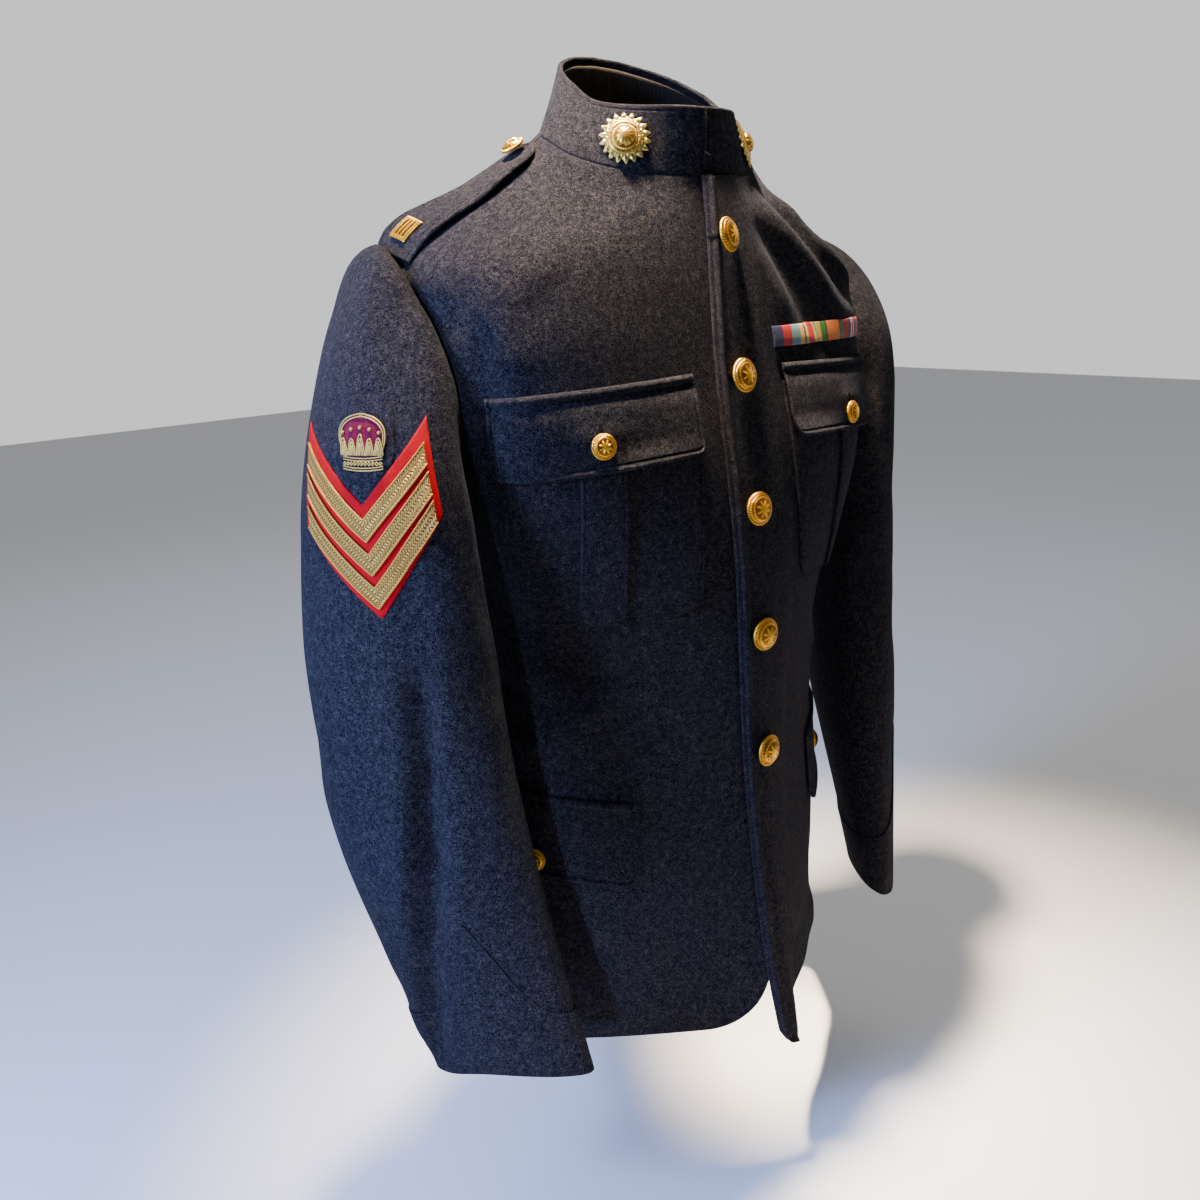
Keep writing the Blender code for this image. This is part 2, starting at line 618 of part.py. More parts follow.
def settled(skin, grid, inner, under, gap, step=4):
    """The lift at each place of a grid that carries its cells clear of the things under it."""
    tree = tree_of(under)
    rows, columns = grid.shape[:2]
    lift = np.zeros((rows, columns))
    normals = skin.at(grid[..., 0], grid[..., 1], 1.0) - skin.at(grid[..., 0], grid[..., 1])
    fine = [(i, j, diagonal) for i in range((rows - 1) * step + 1)
            for j in range((columns - 1) * step + 1) for diagonal in (0, 1)]
    ways = np.array([between(normals, *spot, step) for spot in fine])
    ways /= np.linalg.norm(ways, axis=1, keepdims=True)
    for _ in range(5):
        corners = skin.at(grid[..., 0], grid[..., 1], inner + lift)
        lack = shortfall(tree, np.array([between(corners, *spot, step) for spot in fine]), ways, gap)
        rise = np.zeros_like(lift)
        for (row, column, _), need in zip(fine, lack):
            if need > 0:
                reach = rise[row // step:-(-row // step) + 1, column // step:-(-column // step) + 1]
                np.maximum(reach, need, out=reach)
        lift += rise
        if rise.max() < 0.01:
            break
    return lift


def cloth(name, skin, grid, inner, outer, material, under=(), gap=OVERLAY_GAP):
    """A wall over a grid of (around, along) places, from one height over the skin to another.

    It is raised where it would not clear the things under it.
    """
    rows, columns = grid.shape[:2]
    inner, outer = [np.broadcast_to(np.asarray(out, dtype=float), (rows, columns)) for out in (inner, outer)]
    lift = settled(skin, grid, inner, under, gap) if under else 0.0
    faces = {"inner": skin.at(grid[..., 0], grid[..., 1], inner + lift) * MM,
             "outer": skin.at(grid[..., 0], grid[..., 1], outer + lift) * MM}
    bm = bmesh.new()
    bmesh.ops.create_grid(bm, x_segments=columns - 1, y_segments=rows - 1, size=1.0)
    under = bmesh.ops.extrude_face_region(bm, geom=bm.faces[:], use_keep_orig=True)
    raised = {vert for vert in under["geom"] if isinstance(vert, bmesh.types.BMVert)}
    for vert in bm.verts:
        column = round((vert.co.x + 1) / 2 * (columns - 1))
        row = round((vert.co.y + 1) / 2 * (rows - 1))
        vert.co = Vector(faces["outer" if vert in raised else "inner"][row, column])
    return place(name, finish(name, bm, material))


def spun(name, profile, steps, material, petals=0, scallop=0.0):
    """A turned piece from (radius, height) pairs; petals scallop its rim."""
    bm = bmesh.new()
    ring = [bm.verts.new((radius * MM, 0.0, height * MM)) for radius, height in profile]
    line = [bm.edges.new(pair) for pair in zip(ring, ring[1:])]
    bmesh.ops.spin(bm, geom=ring + line, axis=(0, 0, 1), cent=(0, 0, 0), angle=2 * math.pi,
                   steps=steps, use_merge=True)
    bmesh.ops.remove_doubles(bm, verts=bm.verts[:], dist=1e-6)
    rim = max(radius for radius, _ in profile) * MM
    for vert in bm.verts:
        out = math.hypot(vert.co.x, vert.co.y) / rim
        if petals and out > 0.6:
            swing = math.atan2(vert.co.y, vert.co.x)
            vert.co.xy *= 1 + scallop * math.cos(petals * swing)
    return finish(name, bm, material)


def fixed(name, mesh, skin, around, along, under, tilt=0.0):
    """Stand a turned piece on the things under it; tilt faces it towards the wearer's left."""
    normal = skin.normal_at(around, along)
    turned = normal.to_track_quat("Z", "Y").to_matrix().to_4x4()
    turned = Matrix.Rotation(math.radians(tilt), 4, "Z") @ turned
    base = Vector(skin.at(around, along)) * MM
    flat = max(math.hypot(vert.co.x, vert.co.y) for vert in mesh.vertices if vert.co.z < 1e-6)
    spots = [base] + [base + turned.to_3x3() @ Vector((flat * math.cos(t), flat * math.sin(t), 0))
                      for t in np.radians(range(0, 360, 30))]
    spots = np.array([tuple(spot / MM) for spot in spots])
    face = turned.to_3x3() @ Vector((0, 0, 1))
    lift = shortfall(tree_of(under), spots - 5 * np.array(face), np.tile(face, (len(spots), 1)), BUTTON_GAP)
    matrix = Matrix.Translation(base + face * (lift.max() - 5) * MM) @ turned
    return place(name, mesh, matrix)


# ---- the tunic ----------------------------------------------------------------------------

CHEST_POCKET = ((46, -200), (206, -205), (200, -363), (54, -363))
CHEST_FLAP = ((47, -186), (209, -192), (209, -250), (47, -244))
CHEST_BUTTONS = {-1: (131, -228), 1: (125, -233)}
LOWER_FLAP = ((104, -518), (272, -492), (270, -556), (113, -590))
LOWER_BUTTON = (190, -560)
PLEAT = ((114, -216), (148, -217), (148, -362.5), (114, -362.5))
RIBBON_BAR = ((42, -158), (170, -158), (170, -174), (42, -174))
FRONT_BUTTONS = ((0, -90, 20), (0, -191, 5), (0, -291, 0), (0, -390, 0), (3, -490, 0))

# Depth below a flap's top edge, its underside and its face, over the cloth
FLAP_COLUMNS = ("depth", "under", "face")
CHEST_FLAP_SHAPE = ((0, 0.4, 2.6), (2, 0.4, 3.7), (5, 0.4, 3.8), (8, 1.2, 3.4), (13, 2.7, 4.9),
                    (28, 4.5, 6.7), (44, 4.9, 7.2), (58, 6.0, 8.2))
LOWER_FLAP_SHAPE = ((0, 0.4, 2.6), (2, 0.4, 3.7), (5, 0.4, 3.8), (8, 0.5, 2.8), (20, 0.9, 3.2),
                    (50, 1.3, 3.6), (72, 2.4, 4.7))

# Sleeve folds: round from the outer line (forward is -) and height at both ends, half width, rise
SLEEVE_RIGHT_FOLDS = (
    (-57, -290, -44, -390, 12, -3.0),
    (-45, -382, -33, -450, 13, -5.0),
    (-34, -443, -14, -520, 13, -5.5),
    (-16, -511, 14, -585, 13, -5.0),
    (13, -582, 60, -690, 13, -4.0),
    (-90, -400, -70, -500, 16, 2.5),
    (95, -380, 70, -470, 16, -3.5),
    (150, -330, 120, -440, 16, 2.5),
    (-20, -108, -35, -180, 18, 1.6),
)
SLEEVE_LEFT_FOLDS = (
    (-50, -300, -42, -400, 13, -3.0),
    (-44, -390, -30, -470, 14, -4.5),
    (-32, -460, -8, -540, 14, -4.5),
    (-8, -530, 30, -640, 13, -4.0),
    (-110, -370, -90, -470, 15, -3.0),
    (100, -400, 70, -480, 16, -3.5),
    (150, -340, 120, -450, 16, 2.5),
)

# Cuff top edge: share round the sleeve, height; it is open along the hind seam
CUFF_COLUMNS = ("share", "height")
CUFF_TOP = ((-0.195, -651), (-0.12, -652), (-0.04, -652), (0.04, -652), (0.12, -652), (0.19, -652),
            (0.25, -651), (0.305, -649), (0.35, -644), (0.38, -636), (0.405, -621), (0.432, -590),
            (0.456, -563), (0.48, -589), (0.51, -613), (0.54, -630), (0.575, -641), (0.62, -648),
            (0.70, -651), (0.79, -651))

# The rank badge's middle and ends, and each edge's height at the point, forward and hind end
RANK_PLACE = (-86, -31, 31)
RANK_BACKING = ((-254, -198, -204), (-332, -262, -274))
RANK_BARS = (((-263, -210, -213), (-279, -225, -229)), ((-286, -228, -233), (-302, -244, -249)),
             ((-309, -246, -254), (-325, -262, -270)))
CROWN_PLACE = (-35, -232)        # the middle of its foot
CROWN_COLUMNS = ("height", "half_width")
CROWN = ((0, 14), (6, 15), (8, 16), (17, 19.5), (26, 18.5), (32, 12), (34, 5), (37, 4.5), (41, 2))

CUFF_ROWS = 4
CUFF_STEP = 1.3

FRONT_BUTTON_PROFILE = ((0, 7.8), (6.5, 6.7), (10.8, 3.9), (13.0, 3.3), (13.0, 1.7), (9.5, 0), (0, 0))
BADGE_PLACE = (55, -66, -20)
SMALL_BUTTON_PROFILE = ((0, 6.0), (4.6, 5.2), (7.6, 3.0), (9.3, 2.5), (9.3, 1.2), (7, 0), (0, 0))
BADGE_PROFILE = ((0, 7.5), (5.0, 6.4), (8.2, 3.4), (9.5, 2.2), (13.5, 3.4), (17.6, 2.6), (17.8, 1.2),
                 (12, 0), (0, 0))

for thing in list(bpy.data.objects):
    bpy.data.objects.remove(thing)
tunic = bpy.data.collections.new("dress_tunic")
bpy.context.scene.collection.children.link(tunic)

navy = paint("navy_cloth", (0.012, 0.014, 0.03), 0.9, sheen=0.4)
brass = paint("brass", (0.72, 0.46, 0.14), 0.25, metallic=1.0)
scarlet = paint("scarlet_cloth", (0.42, 0.03, 0.03), 0.9, sheen=0.3)
lace = paint("gold_lace", (0.75, 0.55, 0.2), 0.45, metallic=0.7)
ribbon = paint("ribbon", (0.1, 0.12, 0.3), 0.7)

body = body_skin()
sleeves = {-1: sleeve_skin(body, -1, SLEEVE_RIGHT, SLEEVE_RIGHT_FOLDS),
           1: sleeve_skin(body, 1, SLEEVE_LEFT, SLEEVE_LEFT_FOLDS)}
collar = collar_skin(body)
SIDES = ((-1, "right"), (1, "left"))


def named(*names):
    return [bpy.data.objects[name] for name in names]


def front_lift(side, grid):
    """How far a front stands off the body skin: the left one laps over the right one."""
    if side < 0:
        return 0.0
    run = np.array([np.interp(a, body.around, body.run[int(np.interp(h, body.along,
                    np.arange(len(body.along))))]) for a, h in grid.reshape(-1, 2)])
    start, end = LIFT_ENDS
    return (EDGE_LIFT * (1 - smooth((run - start) / (end - start)))).reshape(grid.shape[:2])


for side, name in SIDES:
    grid = body_front(body, side)
    lift = front_lift(side, grid)
    below = named("front_right") if side > 0 else ()
    cloth(f"front_{name}", body, grid, lift - WALL, lift, navy, below, 0.8)
    cloth(f"back_{name}", body, body_back(body, side), -WALL, 0.0, navy)

# Collar: the columns stand on the ends of the body's neckline columns
front_neck = spaced(body, [(a, neckline_height(a)) for a in np.linspace(0, 1, 60)], even(8))[:, 0]
back_neck = spaced(body, [(a, neckline_height(a)) for a in np.linspace(1, 2, 60)], even(5))[:, 0]
half = np.concatenate([back_neck[::-1], front_neck[::-1][1:]])
around = np.concatenate([-(2 - half)[::-1], (2 - half)[1:]])
around, along = np.meshgrid(around, np.linspace(0.7 / COLLAR_HEIGHT, 1.0, 4))
grid = np.stack([around, along], axis=-1)
grid[:, 0] = beside(collar, grid[:, 0], COLLAR_END_GAP / 2)
grid[:, -1] = beside(collar, grid[:, -1], -COLLAR_END_GAP / 2)
cloth("collar", collar, grid, -COLLAR_WALL, 0.0, navy)

# Sleeves in two pieces each, seams on the fore and hind arm
sleeve_rows = np.concatenate([np.linspace(0, HEAD_SHARE, 9), np.linspace(HEAD_SHARE, 1, 14)[1:]])
for side, name in SIDES:
    skin = sleeves[side]
    for part, first, last, columns in (("upper", 1 / 6, 5 / 6, 16), ("under", -1 / 6, 1 / 6, 8)):
        around, along = np.meshgrid(np.linspace(first, last, columns + 1), sleeve_rows)
        grid = np.stack([around, along], axis=-1)
        grid[:, 0] = beside(skin, grid[:, 0], SEAM / 2)
        grid[:, -1] = beside(skin, grid[:, -1], -SEAM / 2)
        cloth(f"sleeve_{name}_{part}", skin, grid, -WALL, 0.0, navy)

# Pointed cuffs, open along the hind seam
for side, name in SIDES:
    skin = sleeves[side]
    grid = []
    for share, top in CUFF_TOP:
        low = float(skin.at(share, 1.0)[2]) + 1.0
        column = skin.at(np.full(len(skin.along), share), skin.along)[:, 2]
        heights = top + (low - top) * even(CUFF_ROWS)
        grid.append([(share, along) for along in np.interp(-heights, -column, skin.along)])
    below = named(f"sleeve_{name}_upper", f"sleeve_{name}_under")
    cloth(f"cuff_{name}", skin, np.array(grid), 0.0, CUFF_STEP, navy, below, 0.3)

# Pockets
front_button = spun("front_button", FRONT_BUTTON_PROFILE, 14, brass)
small_button = spun("small_button", SMALL_BUTTON_PROFILE, 12, brass)


def mirrored(places, side):
    return np.asarray(places, dtype=float) * (side, 1)


def flap(name, corners, shape, columns, side, below):
    depth = [row[0] for row in shape]
    outline = sheet(corners, (0, 0, 11, 11), columns, 24)
    grid = np.stack([[outline_row(outline, c, d / depth[-1]) for c in range(columns + 1)] for d in depth])
    layers = np.array([row[1:] for row in shape])
    return cloth(name, body, body.on_cloth(mirrored(grid, side)), layers[:, :1], layers[:, 1:], navy,
                 below)


def outline_row(outline, column, share):
    place_at = share * (len(outline) - 1)
    low = min(int(place_at), len(outline) - 2)
    return outline[low, column] * (1 - place_at + low) + outline[low + 1, column] * (place_at - low)


for side, name in SIDES:
    front, pocket, pleat = f"front_{name}", f"chest_pocket_{name}", f"chest_pleat_{name}"
    grid = body.on_cloth(mirrored(sheet(CHEST_POCKET, (0, 0, 22, 22), 9, 8), side))
    cloth(pocket, body, grid, 0.0, CLOTH_STEP, navy, named(front))
    grid = body.on_cloth(mirrored(sheet(PLEAT, (0, 0, 0, 0), 3, 8), side))
    cloth(pleat, body, grid, 0.0, PLEAT_STEP, navy, named(pocket))
    flap(f"chest_flap_{name}", CHEST_FLAP, CHEST_FLAP_SHAPE, 9, side, named(front, pocket, pleat))
    flap(f"lower_flap_{name}", LOWER_FLAP, LOWER_FLAP_SHAPE, 9, side, named(front))
    for kind, spot in (("chest", CHEST_BUTTONS[side]), ("lower", LOWER_BUTTON)):
        around, along = body.on_cloth(mirrored(spot, side))
        fixed(f"{kind}_button_{name}", small_button, body, around, along, named(f"{kind}_flap_{name}"))

for number, (across, height, tilt) in enumerate(FRONT_BUTTONS, start=1):
    around, along = body.on_cloth((across, height))
    fixed(f"front_button_{number}", front_button, body, around, along, named("front_left"), tilt)

grid = body.on_cloth(sheet(RIBBON_BAR, (0, 0, 0, 0), 8, 2))
cloth("ribbon_bar", body, grid, 0.0, 2.3, ribbon, named("front_left"))

# Shoulder straps, with a rounded inner end
for side, name in SIDES:
    skin = strap_skin(side)
    rows = []
    for out in np.linspace(*STRAP_ENDS, 14):
        into = min((out - STRAP_ENDS[0] + 2.5) / 20, 1)
        rows.append([(across * math.sqrt(1 - (1 - into)**2), out) for across in even(4) * 2 - 1])
    cloth(f"shoulder_strap_{name}", skin, np.array(rows), -STRAP_WALL, 0.0, navy,
          named(f"front_{name}", f"back_{name}", f"sleeve_{name}_upper", "collar"))
    strap = named(f"shoulder_strap_{name}")
    fixed(f"strap_button_{name}", small_button, skin, 0.0, STRAP_BUTTON, strap)
    out, length, width = TITLE_PLATE
    across = width / 50
    plate = [[(across * x, out + length / 2 * y) for x in even(2) * 2 - 1] for y in (-1, 0, 1)]
    cloth(f"title_plate_{name}", skin, np.array(plate), 0.0, 1.4, brass, strap)

# Collar badges: a ring of petals round a dome
for side, name in SIDES:
    badge = spun(f"collar_badge_{name}", BADGE_PROFILE, 24, brass, petals=8, scallop=0.04)
    spot = collar.nearest(np.array(BADGE_PLACE) * (side, 1, 1))
    fixed(f"collar_badge_{name}", badge, collar, *spot, named("collar"))

# Rank badge on the right sleeve: a backing with three lace bars, a crown on a patch above
arm = sleeves[-1]


def chevron(name, edges, inset, thick, material, below, rows=1):
    """A V with its point down; edges are the upper and lower edges' heights."""
    fore, middle, hind = RANK_PLACE
    grid = []
    for share in even(rows):
        point, fore_end, hind_end = [top * (1 - share) + low * share for top, low in zip(*edges)]
        across = np.interp(even(8), (0, 0.5, 1), (fore + inset, middle, hind - inset))
        heights = np.interp(across, (fore, middle, hind), (fore_end, point, hind_end))
        grid.append(list(zip(across, heights)))
    return cloth(name, arm, arm.on_cloth(grid), 0.0, thick, material, below)


upper = named("sleeve_right_upper")
backing = [chevron("rank_backing", RANK_BACKING, 0, 1.0, scarlet, upper, rows=3)]
for number, edges in enumerate(RANK_BARS, start=1):
    chevron(f"rank_chevron_{number}", edges, 5, 1.2, lace, backing)

patch = sheet(((-24, 48), (24, 48), (24, -5), (-24, -5)), (16, 16, 20, 20), 5, 5) + CROWN_PLACE
patch = [cloth("rank_patch", arm, arm.on_cloth(patch), 0.0, 1.0, navy, upper + backing)]
grid = [[(CROWN_PLACE[0] + width * x, CROWN_PLACE[1] + height) for x in even(6) * 2 - 1]
        for height, width in CROWN]
cloth("rank_crown", arm, arm.on_cloth(grid), 0.0, 1.8, lace, patch)
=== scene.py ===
import math

import bmesh
import bpy
import numpy as np
from mathutils import Matrix, Vector
from mathutils.bvhtree import BVHTree


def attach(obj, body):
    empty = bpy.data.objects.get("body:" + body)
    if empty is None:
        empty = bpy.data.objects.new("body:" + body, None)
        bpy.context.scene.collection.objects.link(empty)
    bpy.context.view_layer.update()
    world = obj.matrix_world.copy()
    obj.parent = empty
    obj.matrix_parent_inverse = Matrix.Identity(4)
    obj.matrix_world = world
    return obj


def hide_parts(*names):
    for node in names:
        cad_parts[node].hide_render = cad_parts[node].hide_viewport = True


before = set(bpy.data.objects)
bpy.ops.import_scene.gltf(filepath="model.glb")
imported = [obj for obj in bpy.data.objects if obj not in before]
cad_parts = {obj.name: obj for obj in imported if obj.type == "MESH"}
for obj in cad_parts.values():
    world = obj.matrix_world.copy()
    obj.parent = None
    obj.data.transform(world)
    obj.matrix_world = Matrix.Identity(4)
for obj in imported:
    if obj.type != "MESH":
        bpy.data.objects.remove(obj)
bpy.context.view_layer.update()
mm = 0.001
print("frame loaded")

# Lengths are in millimetres, apart from those of the lights and the camera
wall = 2.2              # thickness of the body's and the sleeves' cloth
collarWall = 3.8
seam = 0.3              # gap between two pieces at a seam
relaxRounds = 160       # how often a panel's grid is evened out

# Outline of the body: height, half width, where the cloth lies at the front middle, side and
# back middle, and the powers that round the section at front, side and back (1 is an ellipse)
bodyRows = (
    (-780, 187, -181, 2, 148, 2.20, 1.52, 0.95),
    (-735, 187, -170, 2, 145, 2.14, 1.48, 0.95),
    (-680, 186, -156, 2, 139, 1.98, 1.36, 0.95),
    (-600, 182, -142, 2, 124, 1.74, 1.20, 0.95),
    (-500, 175, -134, 0, 104, 1.60, 1.10, 0.95),
    (-400, 167, -137, -3, 90, 1.36, 1.00, 0.92),
    (-330, 178, -136, 0, 98, 1.06, 0.80, 0.88),
    (-250, 196, -128, 4, 112, 0.83, 0.52, 0.80),
    (-190, 203, -118, 8, 113, 0.77, 0.47, 0.78),
    (-140, 206, -110, 11, 110, 0.77, 0.55, 0.82),
    (-100, 205, -103, 22, 103, 0.84, 0.80, 0.88),
    (-75, 180, -98, 29, 94, 0.98, 1.00, 0.95),
    (-50, 141, -92, 23, 80, 1.06, 1.05, 1.00),
    (-25, 102, -87, 5, 63, 1.04, 1.00, 1.00),
    (0, 73, -81, -10, 50, 1.00, 1.00, 1.00),
    (30, 52, -70, -18, 38, 1.00, 1.00, 1.00),
)
bodyLow, bodyHigh = -780, 30

# Where the body is cut, by share and height; the share counts round the body: 0 front middle,
# 1 side, 2 back middle
hemRows = {1: ((0, -744), (0.3, -743), (0.7, -739), (1.15, -735), (2.0, -735)),
           -1: ((0, -729), (0.3, -729), (0.7, -731), (1.15, -733), (2.0, -735))}
hemCorners = {1: (14, -744), -1: (70, -729)}     # radius and height of a front's lower corner
necklineRows = ((0, -47), (0.3, -44), (0.6, -32), (0.85, -18.5), (1.0, -12.5),
                (1.25, -5), (1.5, 1), (1.75, 6), (2.0, 8))
# Armhole: turn (-90 underarm, 0 front, 90 shoulder), share and height
armholeRows = ((-270, 1.00, -98), (-250, 1.07, -103), (-230, 1.14, -116), (-210, 1.19, -136),
               (-190, 1.22, -160), (-170, 1.235, -188), (-150, 1.22, -214), (-130, 1.17, -236),
               (-110, 1.10, -250), (-90, 1.00, -254), (-70, 0.91, -248), (-50, 0.845, -232),
               (-30, 0.81, -210), (-10, 0.80, -188), (10, 0.815, -168), (30, 0.85, -148),
               (50, 0.90, -126), (70, 0.945, -108), (90, 1.00, -98))
# Side seam: height and share
sideSeamRows = ((-780, 1.22), (-600, 1.20), (-500, 1.19), (-400, 1.11), (-300, 1.03),
                (-254, 1.00))

# How far a front runs past the middle line at each height
frontEdgeRows = {1: ((-780, 15), (-620, 15), (-500, 17), (-390, 23), (-290, 26), (-190, 24),
                     (-90, 13), (-47, 7)),
                 -1: ((-780, -9), (-660, -7), (-600, 8), (-500, 16), (-390, 20), (-290, 20),
                      (-190, 18), (-90, 12), (-47, 7))}
edgeLift = 3.0          # how far the left front stands over the right one
liftEnds = (27, 47)     # round from the middle line: full lift, then none

# Soft folds: round and height at both ends, half width, height over the cloth (- is a trough)
bodyFolds = (
    (40, -62, 62, -150, 12, 2.4),
    (62, -66, 178, -165, 13, 3.4),
    (95, -62, 190, -128, 10, 2.2),
    (35, -80, 120, -150, 10, -1.6),
    (-60, -66, -170, -120, 14, 2.0),
    (-205, -112, -226, -150, 8, -2.4),
    (-150, -405, -235, -330, 15, -3.0),
    (-120, -440, -215, -400, 14, 2.2),
    (150, -405, 235, -330, 15, -3.0),
    (120, -440, 215, -400, 14, 2.2),
    (-230, -430, -330, -395, 16, -3.2),
    (230, -430, 330, -395, 16, -3.2),
    (-250, -480, -360, -445, 16, 2.6),
    (250, -480, 360, -445, 16, 2.6),
    (-330, -380, -425, -250, 18, -2.6),
    (330, -380, 425, -250, 18, -2.6),
    (-300, -600, -320, -740, 24, 4.0),
    (300, -600, 320, -740, 24, 4.0),
    (-400, -560, -410, -740, 26, 3.0),
    (400, -560, 410, -740, 26, 3.0),
    (-350, -130, -480, -200, 16, 2.0),
    (350, -130, 480, -200, 16, 2.0),
    (58, -688, 62, -800, 40, -10.0),
)

# Sleeves below the armhole: height, centre line (out from the middle, forward is -), half
# sizes across and fore and aft, and how far the front edge is turned inwards, in degrees
sleeveRight = (
    (-280, 246, -10, 46, 75, 14),
    (-340, 248, -11, 46, 77, 21),
    (-400, 248, -14, 46, 78, 28),
    (-460, 247, -19, 44, 78, 33),
    (-520, 243, -30, 41, 76, 37),
    (-580, 236, -44, 34, 71, 40),
    (-630, 229, -59, 28, 66, 42),
    (-700, 219, -79, 20, 61, 43),
)
sleeveLeft = (
    (-280, 251, 4, 46, 75, 14),
    (-340, 251, 1, 46, 77, 21),
    (-400, 250, -5, 46, 78, 28),
    (-460, 248, -13, 44, 78, 33),
    (-520, 244, -23, 41, 76, 37),
    (-580, 237, -37, 34, 71, 40),
    (-630, 229, -52, 28, 66, 42),
    (-700, 218, -71, 20, 61, 43),
)
sleeveHem = -700
sleeveHemRise = 7       # the hem stands higher on the outer side
headShare = 0.34        # part of the sleeve's rows that belongs to its rounded head
# How the head leaves the armhole (outwards, fore and aft, down) and how far the directions
# of its two ends carry, as parts of its depth
headsRows = {-1: (0.90, 0.68, 0.00, 0.58, 0.98), 1: (0.90, 0.36, -0.22, 1.60, 1.55)}
sleeveLap = (0.45, 2.65)        # how far the sleeve's edge stands off the body: underarm, top

# Shoulder straps: distance out from the middle line, then the face's front and back edges
strapRows = ((90, -20, -17, 21, -19), (110, -21, -30, 24, -31), (130, -18, -44, 27, -43),
             (150, -15, -59, 31, -52), (170, -11, -70, 35, -60), (190, -8, -82, 40, -69),
             (200, -6, -90, 43, -77), (208, -5, -97, 46, -88))

# Collar: the top edge's ring and the height of the stand
collarTop = dict(halfWidth=66, halfDepth=67, centreY=-26)
collarHeight = 49
collarEndGap = 0.6

# Corners of the flat pieces and places of the buttons: round from the front middle, height
chestPocket = ((46, -200), (206, -205), (200, -363), (54, -363))
chestFlap = ((47, -186), (209, -192), (209, -250), (47, -244))
chestButtonPlaces = {-1: (131, -228), 1: (125, -233)}
lowerFlap = ((104, -518), (272, -492), (270, -556), (113, -590))
lowerButtonPlace = (190, -560)
pleatCorners = ((114, -216), (148, -217), (148, -362.5), (114, -362.5))
ribbonCorners = ((42, -158), (170, -158), (170, -174), (42, -174))
frontButtonPlaces = ((0, -90), (0, -191), (0, -291), (0, -390), (3, -490))

# Depth below a flap's top edge, its underside and its face, over the cloth
chestFlapShape = ((0, 0.4, 2.8), (2, 0.4, 4.7), (4.5, 0.4, 4.9), (7.5, 0.6, 3.2), (12, 2.5, 4.9),
                  (28, 4.5, 6.7), (44, 4.9, 7.2), (58, 6.0, 8.2))
lowerFlapShape = ((0, 0.4, 2.6), (2, 0.4, 3.7), (5, 0.4, 3.8), (8, 0.5, 2.8), (20, 0.9, 3.2),
                  (50, 1.3, 3.6), (72, 2.4, 4.7))

# Sleeve folds: round from the outer line (forward is -) and height at both ends, half width, rise
sleeveRightFolds = (
    (-57, -290, -44, -390, 12, -3.0),
    (-45, -382, -33, -450, 13, -5.0),
    (-34, -443, -14, -520, 13, -5.5),
    (-16, -511, 14, -585, 13, -5.0),
    (13, -582, 60, -690, 13, -4.0),
    (-90, -400, -70, -500, 16, 2.5),
    (95, -380, 70, -470, 16, -3.5),
    (150, -330, 120, -440, 16, 2.5),
    (-20, -108, -35, -180, 18, 1.6),
)
sleeveLeftFolds = (
    (-50, -300, -42, -400, 13, -3.0),
    (-44, -390, -30, -470, 14, -4.5),
    (-32, -460, -8, -540, 14, -4.5),
    (-8, -530, 30, -640, 13, -4.0),
    (-110, -370, -90, -470, 15, -3.0),
    (100, -400, 70, -480, 16, -3.5),
    (150, -340, 120, -450, 16, 2.5),
)

# Cuff top edge: share round the sleeve, height; it is open along the hind seam
cuffTop = ((-0.195, -651), (-0.12, -652), (-0.04, -652), (0.04, -652), (0.12, -652), (0.19, -652),
           (0.25, -651), (0.305, -649), (0.35, -644), (0.38, -636), (0.405, -621), (0.432, -590),
           (0.456, -563), (0.48, -589), (0.51, -613), (0.54, -630), (0.575, -641), (0.62, -648),
           (0.70, -651), (0.79, -651))

# The rank badge's middle and ends, and each edge's height at the point, forward and hind end
rankPlace = (-86, -31, 31)
rankBacking = ((-254, -198, -204), (-332, -262, -274))
rankBars = (((-263, -210, -213), (-279, -225, -229)), ((-286, -228, -233), (-302, -244, -249)),
            ((-309, -246, -254), (-325, -262, -270)))
crownPlace = (-35, -232)        # the middle of its foot


# Shares of a smooth curve's start, the direction it leaves in, its end and the one it arrives in
def blends(t):
    return 2 * t**3 - 3 * t**2 + 1, t**3 - 2 * t**2 + t, 3 * t**2 - 2 * t**3, t**3 - t**2


# Values read from a table at "where" along its first column, on a smooth curve through its rows
def eased(table, where):
    rows = np.array(table, dtype=float)
    rows = rows[np.argsort(rows[:, 0], kind="stable")]
    knots, values = rows[:, 0], rows[:, 1:]
    slopes = np.gradient(values, knots, axis=0)
    where = np.clip(np.asarray(where, dtype=float), knots[0], knots[-1])
    low = np.clip(np.searchsorted(knots, where, side="right") - 1, 0, len(knots) - 2)
    span = (knots[low + 1] - knots[low])[..., None]
    t = (where - knots[low])[..., None] / span
    start, leave, end, arrive = blends(t)
    return (start * values[low] + leave * span * slopes[low]
            + end * values[low + 1] + arrive * span * slopes[low + 1])


def smooth(t):
    t = np.clip(t, 0.0, 1.0)
    return t * t * (3 - 2 * t)


def runAlong(points):
    return np.concatenate([[0.0], np.cumsum(np.linalg.norm(np.diff(points, axis=0), axis=1))])


def readAt(where, run, rows):
    return np.stack([np.interp(where, run, rows[:, k]) for k in range(rows.shape[1])], axis=1)


# How far a fold runs past its ends, and over what length it fades, as shares of its length
foldPast, foldFade = 0.15, 0.35


